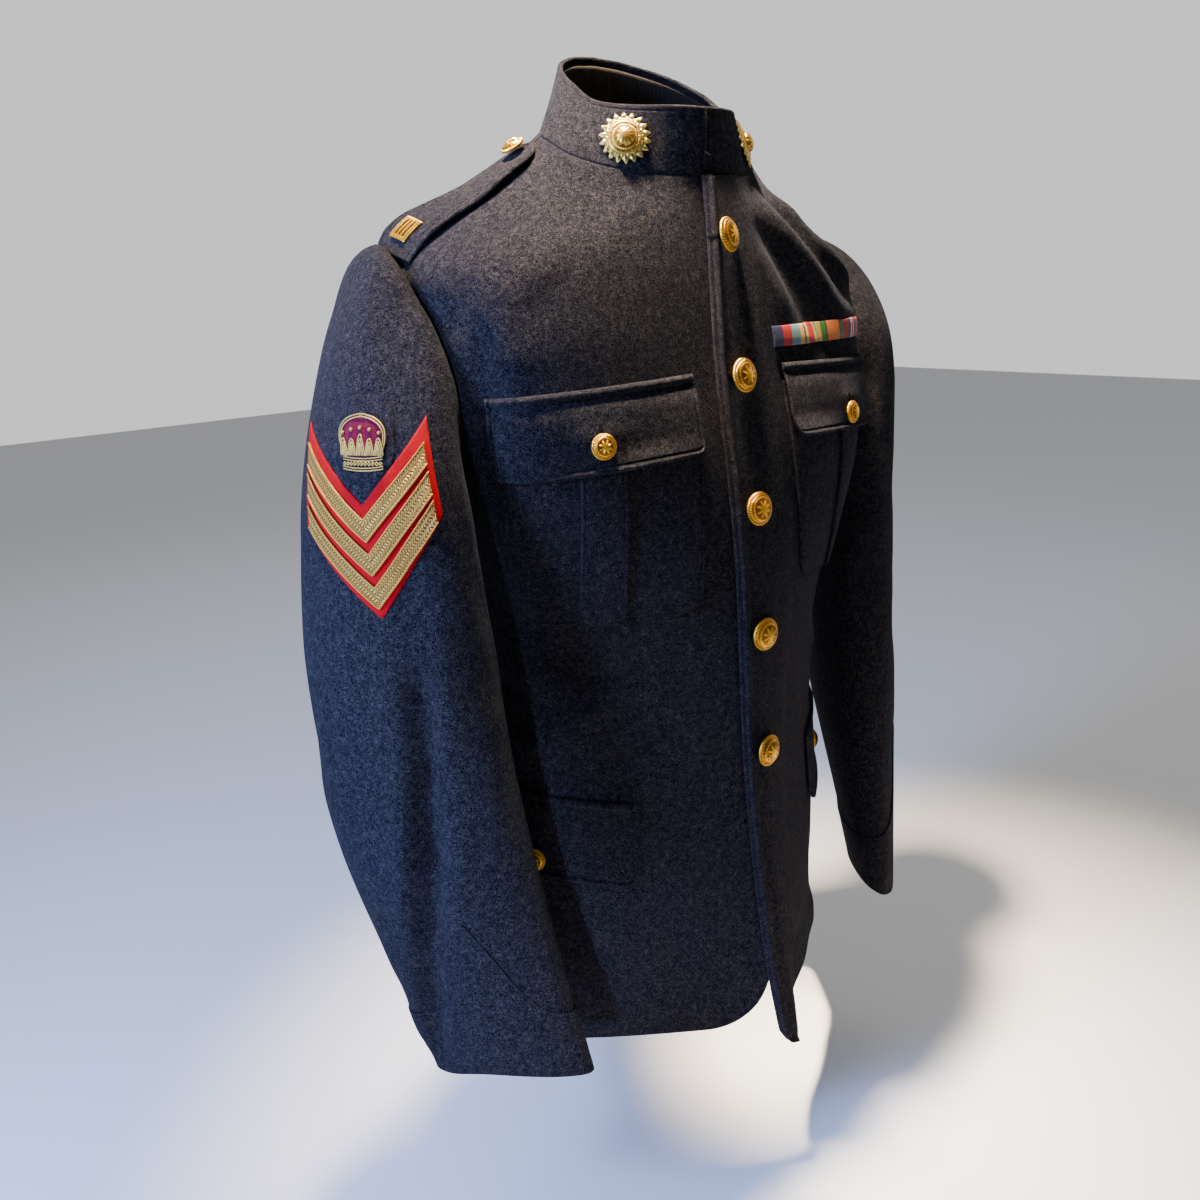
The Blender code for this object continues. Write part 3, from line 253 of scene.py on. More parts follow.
# A surface in rows round the wearer; "run" is the distance along each row from its middle
class Skin:

    def __init__(self, around, along, points, middle, closed=True):
        self.around, self.along, self.points, self.closed = around, along, points, closed
        steps = np.linalg.norm(np.diff(points, axis=1), axis=2)
        self.run = np.concatenate([np.zeros((len(along), 1)), np.cumsum(steps, axis=1)], axis=1)
        self.run -= np.array([np.interp(middle, around, row) for row in self.run])[:, None]
        self.findNormals()

    def findNormals(self):
        points = self.points
        across = np.gradient(points, axis=1)
        if self.closed:
            across[:, 0] = across[:, -1] = (points[:, 1] - points[:, -2]) / 2
        normals = np.cross(across, np.gradient(points, axis=0))
        normals /= np.linalg.norm(normals, axis=2, keepdims=True) + 1e-9
        outwards = points - points.mean(axis=1, keepdims=True)
        if (normals * outwards).sum() < 0:
            normals = -normals
        self.normals = normals

    def fold(self, table):
        for x0, y0, x1, y1, width, rise in table:
            length = math.hypot(x1 - x0, y1 - y0)
            ux, uy = (x1 - x0) / length, (y1 - y0) / length
            dx, dy = self.run - x0, self.points[..., 2] - y0
            t = (dx * ux + dy * uy) / length
            aside = dx * uy - dy * ux
            ends = smooth((t + foldPast) / foldFade) * smooth((1 + foldPast - t) / foldFade)
            lift = rise * ends * np.exp(-(aside / width)**2)
            self.points = self.points + self.normals * lift[..., None]
        self.findNormals()

    def index(self, around, along):
        around, along = np.asarray(around, dtype=float), np.asarray(along, dtype=float)
        if self.closed:
            span = self.around[-1] - self.around[0]
            around = (around - self.around[0]) % span + self.around[0]
        i = np.interp(around, self.around, np.arange(len(self.around)))
        j = np.interp(along, self.along, np.arange(len(self.along)))
        i = np.minimum(i, len(self.around) - 1 - 1e-9)
        j = np.minimum(j, len(self.along) - 1 - 1e-9)
        i0, j0 = i.astype(int), j.astype(int)
        return i0, j0, i - i0, j - j0

    def read(self, values, i, j, s, t):
        if values.ndim > 2:
            s, t = s[..., None], t[..., None]
        return ((values[j, i] * (1 - s) + values[j, i + 1] * s) * (1 - t)
                + (values[j + 1, i] * (1 - s) + values[j + 1, i + 1] * s) * t)

    def at(self, around, along, out=0.0):
        spot = self.index(around, along)
        normal = self.read(self.normals, *spot)
        normal = normal / np.linalg.norm(normal, axis=-1, keepdims=True)
        return self.read(self.points, *spot) + normal * np.asarray(out, dtype=float)[..., None]

    def on(self, places, out=0.0):
        return self.at(places[..., 0], places[..., 1], out)

    def outwards(self, places):
        return self.on(places, 1.0) - self.on(places)

    def share(self, roundMm, along):
        j = np.interp(along, self.along, np.arange(len(self.along)))
        j0 = min(int(j), len(self.along) - 2)
        row = self.run[j0] * (1 - (j - j0)) + self.run[j0 + 1] * (j - j0)
        return np.interp(roundMm, row, self.around)

    def onCloth(self, flat):
        flat = np.asarray(flat, dtype=float)
        found = []
        for x, height in flat.reshape(-1, 2):
            around = 0.5 * (self.around[0] + self.around[-1])
            for _ in range(5):
                i = np.interp(around, self.around, np.arange(len(self.around)))
                i0 = min(int(i), len(self.around) - 2)
                column = self.points[:, i0, 2] * (1 - i + i0) + self.points[:, i0 + 1, 2] * (i - i0)
                order = 1 if column[-1] > column[0] else -1
                along = np.interp(height, column[::order], self.along[::order])
                around = self.share(x, along)
            found.append((around, along))
        return np.array(found).reshape(flat.shape)

    def drawnTo(self, places, targets, times):
        around, along = places[..., 0], places[..., 1]
        du, dv = np.diff(self.around)[0], np.diff(self.along)[0]
        for _ in range(times):
            gap = targets - self.at(around, along)
            a = (self.at(around + du, along) - self.at(around - du, along)) / (2 * du)
            b = (self.at(around, along + dv) - self.at(around, along - dv)) / (2 * dv)
            aa, bb, ab = (a * a).sum(-1), (b * b).sum(-1), (a * b).sum(-1)
            ga, gb = (a * gap).sum(-1), (b * gap).sum(-1)
            scale = aa * bb - ab * ab + 1e-9
            around = around + np.clip((ga * bb - gb * ab) / scale, -2 * du, 2 * du)
            along = along + np.clip((gb * aa - ga * ab) / scale, -2 * dv, 2 * dv)
        return np.stack([around, along], axis=-1)

    def nearest(self, target):
        flat = self.points.reshape(-1, 3)
        j, i = divmod(int(np.argmin(((flat - target)**2).sum(axis=1))), len(self.around))
        return self.drawnTo(np.array([self.around[i], self.along[j]]), np.asarray(target), 6)


# Smooth surfaces that the cloth is laid on

def quarter(width, reach, middleTurn, sideTurn, count):
    turn = np.linspace(0.0, math.pi / 2, 300)
    x = width * np.sin(turn)**middleTurn
    y = reach * np.cos(turn)**sideTurn
    run = np.concatenate([[0.0], np.cumsum(np.hypot(np.diff(x), np.diff(y)))])
    even = np.linspace(0.0, run[-1], count + 1)
    return np.interp(even, run, x), np.interp(even, run, y)


def bodySkin():
    count = 60
    heights = np.linspace(bodyLow, bodyHigh, 203)
    rows = []
    for height, section in zip(heights, eased(bodyRows, heights)):
        halfWidth, frontY, sideY, backY, frontTurn, sideTurn, backTurn = section
        xf, yf = quarter(halfWidth, sideY - frontY, frontTurn, sideTurn, count)
        xb, yb = quarter(halfWidth, backY - sideY, backTurn, sideTurn, count)
        x = np.concatenate([xf, xb[::-1][1:]])
        y = np.concatenate([sideY - yf, sideY + yb[::-1][1:]])
        x, y = np.concatenate([-x[::-1], x[1:]]), np.concatenate([y[::-1], y[1:]])
        rows.append(np.stack([x, y, np.full_like(x, height)], axis=1))
    skin = Skin(np.linspace(-2, 2, 4 * count + 1), heights, np.array(rows), 0.0)
    skin.fold(bodyFolds)
    return skin


def armholePoint(body, side, turn, out=0.0):
    turn = np.asarray(turn, dtype=float)
    share, height = np.moveaxis(eased(armholeRows, np.where(turn > 90, turn - 360, turn)), -1, 0)
    return body.at(side * share, height, out)


def sleeveRing(side, table, height, turns):
    out, y, across, deep, turn = eased(table, height)
    lean = math.radians(turn)
    forward = np.array([-side * math.sin(lean), -math.cos(lean)])
    outward = np.array([side * math.cos(lean), -math.sin(lean)])
    angle = np.radians(turns)[:, None]
    plan = (np.array([side * out, y]) + deep * np.cos(angle) * forward
            + across * np.sin(angle) * outward)
    return np.column_stack([plan, np.full(len(plan), float(height))])


def sleeveSkin(body, side, table, folds):
    around = np.linspace(0.0, 1.0, 121)
    along = np.linspace(0.0, 1.0, 141)
    turns = around * 360 - 90
    top = table[0][0]
    lowLap, highLap = sleeveLap
    lap = lowLap + (highLap - lowLap) * smooth((np.sin(np.radians(turns)) + 0.9) / 0.9)
    start = armholePoint(body, side, turns, lap)
    end = sleeveRing(side, table, top, turns)
    below = sleeveRing(side, table, top - 10, turns)
    chord = np.linalg.norm(end - start, axis=1, keepdims=True)
    swing = np.radians(turns)
    outwards, fore, down, first, last = headsRows[side]
    leave = np.stack([side * np.full_like(swing, outwards), -fore * np.cos(swing),
                      -down + 0.3 * np.minimum(np.sin(swing), 0.0)], axis=1)
    leave /= np.linalg.norm(leave, axis=1, keepdims=True)
    arrive = below - end
    arrive /= np.linalg.norm(arrive, axis=1, keepdims=True)
    rows = []
    for v in along:
        if v < headShare:
            a, b, c, d = blends(v / headShare)
            rows.append(a * start + b * first * chord * leave + c * end + d * last * chord * arrive)
        else:
            share = (v - headShare) / (1 - headShare)
            ring = sleeveRing(side, table, top + (sleeveHem - top) * share, turns)
            ring[:, 2] += sleeveHemRise * share**4 * np.cos(np.radians(turns - 115))
            rows.append(ring)
    skin = Skin(around, along, np.array(rows), 0.5)
    skin.fold(folds)
    return skin


def necklineHeight(share):
    return eased(necklineRows, abs(share))[..., 0]


def collarSkin(body):
    along = np.linspace(0.0, 1.0, 12)
    around = np.linspace(-2.0, 2.0, 161)
    share = np.where(around < 0, -(around + 2), 2 - around)
    base = body.at(share, necklineHeight(share))
    centre = collarTop["centreY"]
    swing = np.arctan2(base[:, 0], centre - base[:, 1])
    swing[around < 0] = -np.abs(swing[around < 0])
    swing[around >= 0] = np.abs(swing[around >= 0])
    top = np.stack([collarTop["halfWidth"] * np.sin(swing),
                    centre - collarTop["halfDepth"] * np.cos(swing),
                    base[:, 2]], axis=1)
    flat = np.linalg.norm((top - base)[:, :2], axis=1)
    top[:, 2] += np.sqrt(np.maximum(collarHeight**2 - flat**2, 1.0))
    points = base[None] + (top - base)[None] * along[:, None, None]
    return Skin(around, along, points, 0.0, closed=False)


# Laying out: each panel is a grid of places on a skin

def coons(top, bottom, left, right):
    u = np.linspace(0, 1, len(top))[None, :, None]
    v = np.linspace(0, 1, len(left))[:, None, None]
    sides = ((1 - v) * top[None] + v * bottom[None] + (1 - u) * left[:, None] + u * right[:, None])
    corners = ((1 - u) * (1 - v) * top[0] + u * (1 - v) * top[-1]
               + (1 - u) * v * bottom[0] + u * v * bottom[-1])
    return sides - corners


def spaced(skin, path, fractions):
    path = np.asarray(path, dtype=float)
    run = runAlong(skin.on(path))
    return readAt(np.asarray(fractions) * run[-1], run, path)


def even(count):
    return np.linspace(0.0, 1.0, count + 1)


def beside(skin, path, distance):
    path = np.array(path, dtype=float)
    step = 0.01
    after, before = skin.at(path[:, 0] + step, path[:, 1]), skin.at(path[:, 0] - step, path[:, 1])
    path[:, 0] += distance / (np.linalg.norm(after - before, axis=1) / (2 * step))
    return path


def panel(skin, top, bottom, left, right):
    grid = coons(top, bottom, left, right)
    for _ in range(relaxRounds):
        points = skin.on(grid)
        middle = (points[:-2, 1:-1] + points[2:, 1:-1] + points[1:-1, :-2] + points[1:-1, 2:]) / 4
        grid[1:-1, 1:-1] = skin.drawnTo(grid[1:-1, 1:-1], middle, 1)
    return grid


# A flat piece with four rounded corners, as a grid
def sheet(corners, radii, columns, rows):
    corners = [np.array(corner, dtype=float) for corner in corners]
    halves = []
    for k, radius in enumerate(radii):
        here = corners[k]
        before, after = corners[k - 1] - here, corners[(k + 1) % 4] - here
        before, after = before / np.linalg.norm(before), after / np.linalg.norm(after)
        if radius == 0:
            halves.append(([here], [here]))
            continue
        half = math.acos(float(before @ after)) / 2
        middle = here + (before + after) / np.linalg.norm(before + after) * radius / math.sin(half)
        first, last = here + before * radius / math.tan(half), here + after * radius / math.tan(half)
        swing = [first * (1 - t) + last * t for t in even(12)]
        arc = [middle + (p - middle) / np.linalg.norm(p - middle) * radius for p in swing]
        halves.append((arc[:7], arc[6:]))
    lines = []
    for k in range(4):
        path = np.array(halves[k][1] + halves[(k + 1) % 4][0])
        run = runAlong(path)
        lines.append(readAt(even(columns if k % 2 == 0 else rows) * run[-1], run, path))
    return coons(lines[0], lines[2][::-1], lines[3][::-1], lines[1])


def join(first, second):
    return np.concatenate([first[:-1], second])


def sideSeam(height):
    return eased(sideSeamRows, height)[..., 0]


def hemHeight(side, share):
    return eased(hemRows[side], abs(share))[..., 0]


def hemPath(side, first, last):
    return [(share, float(hemHeight(side, share))) for share in np.linspace(first, last, 40)]


def necklinePath(first, last, count):
    return spaced(body, [(a, necklineHeight(a)) for a in np.linspace(first, last, 60)], even(count))


def shoulderSeam(side, detail):
    end = float(eased(armholeRows, 90)[1])
    heights = np.linspace(float(necklineHeight(1)), end, 40)
    return spaced(body, [(side, h) for h in heights], even(6 * detail))


def armholePath(side, turns):
    turns = np.where(turns > 90, turns - 360, turns)
    path = eased(armholeRows, turns)
    path[:, 0] *= side
    return path


def sideLine(side, way, detail):
    low = float(hemHeight(side, sideSeam(-735)))
    heights = np.linspace(float(eased(armholeRows, -90)[1]), low, 50)
    path = [(side * float(sideSeam(h)), h) for h in heights]
    return beside(body, spaced(body, path, even(14 * detail)), side * way * seam / 2)


def frontSides(side, detail):
    radius, low = hemCorners[side]
    past = {h: float(eased(frontEdgeRows[side], h)[0]) for h in np.linspace(-48, low + radius, 50)}
    edge = [(-past[h], h) for h in past]
    foot = edge[-1][0]
    turn = np.linspace(0, math.pi / 2, 17)
    arc = [(foot + radius * (1 - math.cos(t)), low + radius * (1 - math.sin(t))) for t in turn]
    edge, start = [(side * s, h) for s, h in edge + arc[1:9]], [(side * s, h) for s, h in arc[8:]]
    edge, start = body.onCloth(edge), body.onCloth(start)
    hem = hemPath(side, start[-1][0], side * float(sideSeam(low)))[1:]
    edge[0] = (edge[0][0], necklineHeight(edge[0][0]))
    top = join(necklinePath(edge[0][0], side, 8 * detail),
               beside(body, shoulderSeam(side, detail), -side * seam / 2))
    own = spaced(body, edge, join(even(12 * detail) * 0.31, 0.31 + even(14 * detail) * 0.69))
    armhole = armholePath(side, np.linspace(90, -90, 12 * detail + 1))
    outer = join(armhole, sideLine(side, -1, detail))
    bottom = spaced(body, np.concatenate([start, hem]), even(14 * detail))
    outer[0], bottom[-1], own[0], own[-1] = top[-1], outer[-1], top[0], bottom[0]
    return top, bottom, own, outer


def backSides(side, detail):
    top = join(necklinePath(2 * side, side, 5 * detail),
               beside(body, shoulderSeam(side, detail), side * seam / 2))
    heights = np.linspace(float(necklineHeight(2)), float(hemHeight(side, 2)), 50)
    rows = join(even(12 * detail) * 0.33, 0.33 + even(14 * detail) * 0.67)
    centre = spaced(body, [(2 * side, h) for h in heights], rows)
    centre = beside(body, centre, -side * seam / 2)
    armhole = armholePath(side, np.linspace(90, 270, 12 * detail + 1))
    outer = join(armhole, sideLine(side, 1, detail))
    bottom = spaced(body, hemPath(side, centre[-1][0], float(outer[-1][0])), even(11 * detail))
    top[0], outer[0], bottom[-1], centre[-1] = centre[0], top[-1], outer[-1], bottom[0]
    return top, bottom, centre, outer


def finer(values, times):
    knots = np.arange(len(values))
    flat = np.column_stack([knots, values.reshape(len(values), -1)])
    places = np.linspace(0, len(values) - 1, (len(values) - 1) * times + 1)
    return eased(flat, places).reshape((len(places),) + values.shape[1:])


def panelGrid(sides, detail=4):
    coarse = panel(body, *sides(1)) - coons(*sides(1))
    moved = np.swapaxes(finer(np.swapaxes(finer(coarse, detail), 0, 1), detail), 0, 1)
    return coons(*sides(detail)) + moved


# Walls: the grid is respaced so that rings lie at set distances from its sides

def respaced(skin, grid, step, rings):
    points = skin.on(grid)
    steps = np.linalg.norm(np.diff(points, axis=1), axis=2)
    run = np.concatenate([np.zeros((len(grid), 1)), np.cumsum(steps, axis=1)], axis=1)
    count = max(2, int(round((np.median(run[:, -1]) - 2 * rings[-1]) / step)))
    rows = []
    for line, lengths in zip(grid, run):
        total = lengths[-1]
        near = np.array(rings) * min(1.0, 0.42 * total / max(rings[-1], 1e-6))
        between = np.linspace(near[-1], total - near[-1], count + 1)
        where = np.concatenate([near[:-1], between, total - near[:-1][::-1]])
        rows.append(readAt(where, lengths, line))
    return np.array(rows)


def laidOut(skin, grid, step, rings):
    grid = respaced(skin, grid, step, rings)
    grid = np.swapaxes(respaced(skin, np.swapaxes(grid, 0, 1), step, rings), 0, 1)
    points = skin.on(grid)
    across = np.zeros(grid.shape[:2])
    down = np.zeros(grid.shape[:2])
    across[:, 1:] = np.cumsum(np.linalg.norm(np.diff(points, axis=1), axis=2), axis=1)
    down[1:] = np.cumsum(np.linalg.norm(np.diff(points, axis=0), axis=2), axis=0)
    sides = {"left": across, "right": across[:, -1:] - across,
             "top": down, "bottom": down[-1:] - down}
    return grid, sides


def treeOf(things):
    points, faces = [], []
    for thing in things:
        first = len(points)
        points += [vert.co for vert in thing.data.vertices]
        faces += [[first + k for k in face.vertices] for face in thing.data.polygons]
    return BVHTree.FromPolygons(points, faces)


# How far a piece rises to clear the pieces it lies on, looked for from rayStart over the skin
rayStart, rayLength = 25, 31


def settled(skin, grid, inner, under, gap):
    tree = treeOf(under)
    base, ways = skin.on(grid, inner), skin.outwards(grid)
    need = np.zeros(grid.shape[:2])
    for spot in np.ndindex(need.shape):
        start = Vector((base[spot] + ways[spot] * rayStart) * mm)
        hit = tree.ray_cast(start, Vector(-ways[spot]), rayLength * mm)
        if hit[0] is not None:
            need[spot] = max(0.0, gap + rayStart - hit[3] / mm)
    lift = need.copy()
    rows, columns = lift.shape
    for _ in range(6):
        soft = np.pad(lift, 1, mode="edge")
        soft = sum(soft[i:i + rows, j:j + columns] for i in range(3) for j in range(3)) / 9
        lift = np.maximum(need, soft)
    return lift


def linked(name, data):
    thing = bpy.data.objects.new(name, data)
    bpy.context.scene.collection.objects.link(thing)
    return thing


def meshPiece(name, bm, material, smoothed=True):
    for face in bm.faces:
        face.smooth = smoothed
    mesh = bpy.data.meshes.new(name)
    bm.to_mesh(mesh)
    bm.free()
    mesh.materials.append(material)
    return linked(name, mesh)


def gridPlaces(bm, rows, columns):
    return {vert: (round((vert.co.y + 1) / 2 * rows), round((vert.co.x + 1) / 2 * columns))
            for vert in bm.verts}


def turnedOut(bm):
    if bm.calc_volume(signed=True) < 0:
        bmesh.ops.reverse_faces(bm, faces=bm.faces[:])


def wallMesh(name, inner, outer, across, down, material):
    rows, columns = inner.shape[:2]
    bm = bmesh.new()
    bmesh.ops.create_grid(bm, x_segments=columns - 1, y_segments=rows - 1, size=1.0)
    made = bmesh.ops.extrude_face_region(bm, geom=bm.faces[:], use_keep_orig=True)
    raised = {vert for vert in made["geom"] if isinstance(vert, bmesh.types.BMVert)}
    places = gridPlaces(bm, rows - 1, columns - 1)
    for vert, place in places.items():
        vert.co = (outer if vert in raised else inner)[place] * mm
    turnedOut(bm)
    layer = bm.loops.layers.uv.new("cloth")
    for face in bm.faces:
        for loop in face.loops:
            place = places[loop.vert]
            loop[layer].uv = (across[place] * mm, down[place] * mm)
    return meshPiece(name, bm, material)


# A sewn piece: a closed wall between two heights over a skin, rolled at its edges. Grooves
# are (edges that have it, distance in from them, depth, width), and "under" is what it lies on.
def clothWall(name, skin, grid, inner, outer, material, node=None, cut=None,
              under=(), gap=0.3, step=4.5, rings=(0, 0.3, 0.9), roll=0.9, grooves=(), shape=None,
              slotName="navy"):
    rings = set(rings)
    for edges, far, depth, width in grooves:
        rings |= {far - 2 * width, far - width, far, far + width, far + 2 * width}
    rings = sorted(rings)
    grid, sides = laidOut(skin, grid, step, rings)

    def heightsOf(value):
        return value(grid, sides) if callable(value) else np.full(grid.shape[:2], float(value))

    low, high = heightsOf(inner), heightsOf(outer)
    lift = settled(skin, grid, low, under, gap) if under else 0.0
    low, high = low + lift, high + lift
    if shape is not None:
        high = high + shape(grid, sides)
    for edges, far, depth, width in grooves:
        for edge in edges:
            reach = np.exp(-((sides[edge] - far) / width)**2)
            for other in set(edges) - {edge}:
                reach = reach * np.clip((sides[other] - far + width) / width, 0, 1)
            high = high - depth * reach
    nearest = np.minimum.reduce(list(sides.values()))
    radius = roll * (high - low) / 2
    turn = np.clip(nearest / np.maximum(radius, 1e-6), 0, 1)
    drop = radius * (1 - np.sqrt(np.clip(1 - (1 - turn)**2, 0, 1)))
    innerPoints, outerPoints = skin.on(grid, low + drop), skin.on(grid, high - drop)
    piece = wallMesh(name, innerPoints, outerPoints, sides["left"], sides["top"], material)
    trim(piece, slotName, *([node] if node else []))
    if cut:
        width, length, area = cut
    return dict(piece=piece, skin=skin, grid=grid, points=outerPoints, rings=rings)


def trim(piece, slotName, *nodes):
    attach(piece, "root")
    if nodes:
        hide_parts(*nodes)
    return piece


# Threads and cords are curves laid on the cloth

def tubes(name, paths, radius, material, slotName="navy", sides=2):
    curve = bpy.data.curves.new(name, "CURVE")
    curve.dimensions = "3D"
    curve.bevel_depth = radius * mm
    curve.bevel_resolution = sides
    curve.use_fill_caps = True
    for path in paths:
        spline = curve.splines.new("POLY")
        spline.points.add(len(path) - 1)
        for point, place in zip(spline.points, path):
            point.co = (*(np.asarray(place) * mm), 1.0)
    curve.materials.append(material)
    return trim(linked(name, curve), slotName)


stitchSettings = {"pitch": 3.2, "length": 2.3, "sink": 0.12, "proud": 0.12, "thread": 0.2}


def stitches(path, normals):
    both = np.concatenate([np.asarray(path), np.asarray(normals)], axis=1)
    run = runAlong(both[:, :3])
    pitch, length = stitchSettings["pitch"], stitchSettings["length"]
    sink, proud = stitchSettings["sink"], stitchSettings["proud"]
    made = []
    for start in np.arange(pitch / 2, run[-1] - length, pitch):
        row = readAt(start + np.array([0, 0.3, 0.7, 1.0]) * length, run, both)
        made.append(row[:, :3] + row[:, 3:] * np.array([-sink, proud, proud, -sink])[:, None])
    return made


def ringNear(wall, far):
    return min(range(len(wall["rings"])), key=lambda i: abs(wall["rings"][i] - far))


def wallLine(wall, edge, far, first=0, last=None):
    k = ringNear(wall, far)
    pick = {"left": (slice(None), k), "right": (slice(None), -1 - k),
            "top": (k, slice(None)), "bottom": (-1 - k, slice(None))}[edge]
    return wall["points"][pick][first:last], wall["skin"].outwards(wall["grid"][pick])[first:last]


def seamStitches(wall, edges, far):
    k = ringNear(wall, far)
    made = []
    for edge in edges:
        upright = edge in ("left", "right")
        before, after = ("top", "bottom") if upright else ("left", "right")
        count = wall["points"].shape[0 if upright else 1]
        first = k if before in edges else 1
        last = count - k if after in edges else count - 1
        made += stitches(*wallLine(wall, edge, far, first, last))
    return made


def stitching(name, lines, material):
    tubes(name, lines, stitchSettings["thread"], material, sides=1)


def edgeSeams(name, wallEdges, radius):
    tubes(name, [wallLine(wall, edge, 0.0)[0] for wall, edge in wallEdges], radius, navy)


# Materials

class Nodes:
    def __init__(self, name):
        self.material = bpy.data.materials.new(name)
        self.material.use_nodes = True
        self.tree = self.material.node_tree
        self.shader = self.tree.nodes["Principled BSDF"]

    def add(self, kind, links=(), **settings):
        node = self.tree.nodes.new(kind)
        for key, value in settings.items():
            setattr(node, key, value)
        for socket, value in dict(links).items():
            self.set(node.inputs[socket], value)
        return node

    def set(self, socket, value):
        if isinstance(value, bpy.types.NodeSocket):
            self.tree.links.new(value, socket)
        elif isinstance(value, tuple) and len(value) == 3:
            socket.default_value = (*value, 1.0)
        else:
            socket.default_value = value

    def places(self, kind="Object"):
        return self.add("ShaderNodeTexCoord").outputs[kind]

    def math(self, operation, first, second=0.0):
        node = self.add("ShaderNodeMath", operation=operation)
        self.set(node.inputs[0], first)
        self.set(node.inputs[1], second)
        return node.outputs[0]

    def plus(self, first, second):
        return self.math("ADD", first, second)

    def times(self, first, second):
        return self.math("MULTIPLY", first, second)

    def noise(self, vector, scale, detail=2.0, roughness=0.5, distortion=0.0):
        node = self.add("ShaderNodeTexNoise", {"Vector": vector, "Scale": scale, "Detail": detail,
                                               "Roughness": roughness, "Distortion": distortion})
        return node.outputs["Fac"]

    def between(self, value, low, high, toLow=0.0, toHigh=1.0):
        node = self.add("ShaderNodeMapRange", {"Value": value, "From Min": low, "From Max": high,
                                               "To Min": toLow, "To Max": toHigh})
        return node.outputs["Result"]

    def threadLines(self, noise, width):
        gap = self.math("ABSOLUTE", self.math("SUBTRACT", noise, 0.5))   # 0 at its middle value
        return self.between(gap, 0.0, width, 1.0, 0.0)

    def mix(self, share, first, second):
        node = self.add("ShaderNodeMix", data_type="RGBA")
        for index, value in ((0, share), (6, first), (7, second)):
            self.set(node.inputs[index], value)
        return node.outputs[2]

    def bump(self, height, strength, distance):
        node = self.add("ShaderNodeBump", {"Height": height, "Strength": strength, "Distance": distance})
        self.set(self.shader.inputs["Normal"], node.outputs["Normal"])

    def finish(self, sockets):
        for socket, value in sockets.items():
            self.set(self.shader.inputs[socket], value)
        return self.material


woolSettings = {"dark": (0.0011, 0.0016, 0.0052), "tint": (0.0016, 0.0019, 0.0038),
                "pale": (0.165, 0.146, 0.135), "fleck": 0.33, "sheen": 0.03}


def woolMaterial(name, look):
    n = Nodes(name)
    where = n.places()
    curls = [n.threadLines(n.noise(where, scale, 1.5, 0.55, 1.8), 0.06) for scale in (330, 600)]
    fibre = n.math("MAXIMUM", curls[0], n.times(curls[1], 0.7))
    patch = n.noise(where, 260, 3.0, 0.6)
    share = n.times(fibre, n.between(patch, 0.38, 0.62, 0.45, 1.0))
    share = n.times(share, look["fleck"])
    broad = n.noise(where, 9, 2.0, 0.5)
    ground = n.mix(n.between(broad, 0.3, 0.7), look["dark"], look["tint"])
    colour = n.mix(share, ground, look["pale"])
    fuzz = n.noise(where, 1500, 2.0, 0.6)
    n.bump(n.plus(n.times(fibre, 0.6), n.plus(fuzz, n.times(patch, 0.8))), 0.55, 0.0005)
    return n.finish({"Base Color": colour, "Roughness": 0.92, "Sheen Weight": look["sheen"],
                     "Sheen Roughness": 0.45, "Sheen Tint": (0.62, 0.70, 0.95),
                     "Specular IOR Level": 0.05, "IOR": 1.25})


def feltMaterial(name, colour, pale, tint, sheen):
    n = Nodes(name)
    where = n.places()
    fibre = n.threadLines(n.noise(where, 900, 2.0, 0.6, 1.0), 0.07)
    mixed = n.mix(n.times(fibre, 0.5), colour, pale)
    n.bump(n.plus(fibre, n.noise(where, 2200, 1.0)), 0.5, 0.0003)
    return n.finish({"Base Color": mixed, "Roughness": 0.85, "Sheen Weight": sheen,
                     "Sheen Roughness": 0.4, "Sheen Tint": tint, "Specular IOR Level": 0.06})


def threadMaterial(name, colour, roughness=0.7, metallic=0.0, scale=2600):
    n = Nodes(name)
    strand = n.noise(n.places(), scale, 1.0, 0.5)
    deep, bright = tuple(c * 0.7 for c in colour), tuple(min(1.0, c * 1.25) for c in colour)
    mixed = n.mix(n.between(strand, 0.35, 0.65), deep, bright)
    n.bump(strand, 0.5, 0.0002)
    return n.finish({"Base Color": mixed, "Roughness": roughness, "Metallic": metallic,
                     "Specular IOR Level": 0.1})


# Brass darkens in random patches from noise, and in its hollows as painted shade where a mesh's shade
# attribute is high
def brassMaterial(name, bright, wornAndShaded):
    n = Nodes(name)
    where = n.places()
    cloud = n.noise(where, 160, 3.0, 0.6)
    fine = n.noise(where, 2400, 2.0, 0.6)
    recessShade = n.add("ShaderNodeAttribute", attribute_name="recessShade").outputs["Fac"]
    wearAndShade = n.math("MAXIMUM", n.times(n.between(cloud, 0.5, 0.8), 0.5), recessShade)
    colour = n.mix(wearAndShade, bright, wornAndShaded)
    n.bump(n.plus(fine, n.times(cloud, 0.6)), 0.12, 0.0003)
    return n.finish({"Base Color": colour, "Roughness": n.between(cloud, 0.3, 0.7, 0.26, 0.42),
                     "Metallic": 1.0})


laceSettings = {"pitch": 2.4, "slant": 0.9, "rowWidth": 0.00315}


def laceMaterial(name, bright, deep):
    n = Nodes(name)
    uv = n.add("ShaderNodeSeparateXYZ", {"Vector": n.places("UV")})
    folded = n.math("PINGPONG", uv.outputs["Y"], laceSettings["rowWidth"])
    phase = n.plus(n.times(uv.outputs["X"], 1000.0), n.times(folded, 1000.0 * laceSettings["slant"]))
    ridge = n.between(n.math("SINE", n.times(phase, 2 * math.pi / laceSettings["pitch"])), -1.0, 1.0)
    height = n.times(ridge, n.between(folded, 0.0, 0.0006, 0.0, 1.0))
    grain = n.noise(n.places(), 1900, 2.0, 0.6)
    # The weave's grooves and the joins between rows take the deep colour as painted shade; the ridges keep
    # the bright gold
    colour = n.mix(n.times(height, n.between(grain, 0.2, 0.8, 0.6, 1.0)), deep, bright)
    n.bump(n.plus(height, n.times(grain, 0.35)), 0.8, 0.0006)
    return n.finish({"Base Color": colour, "Roughness": 0.42, "Metallic": 0.75})


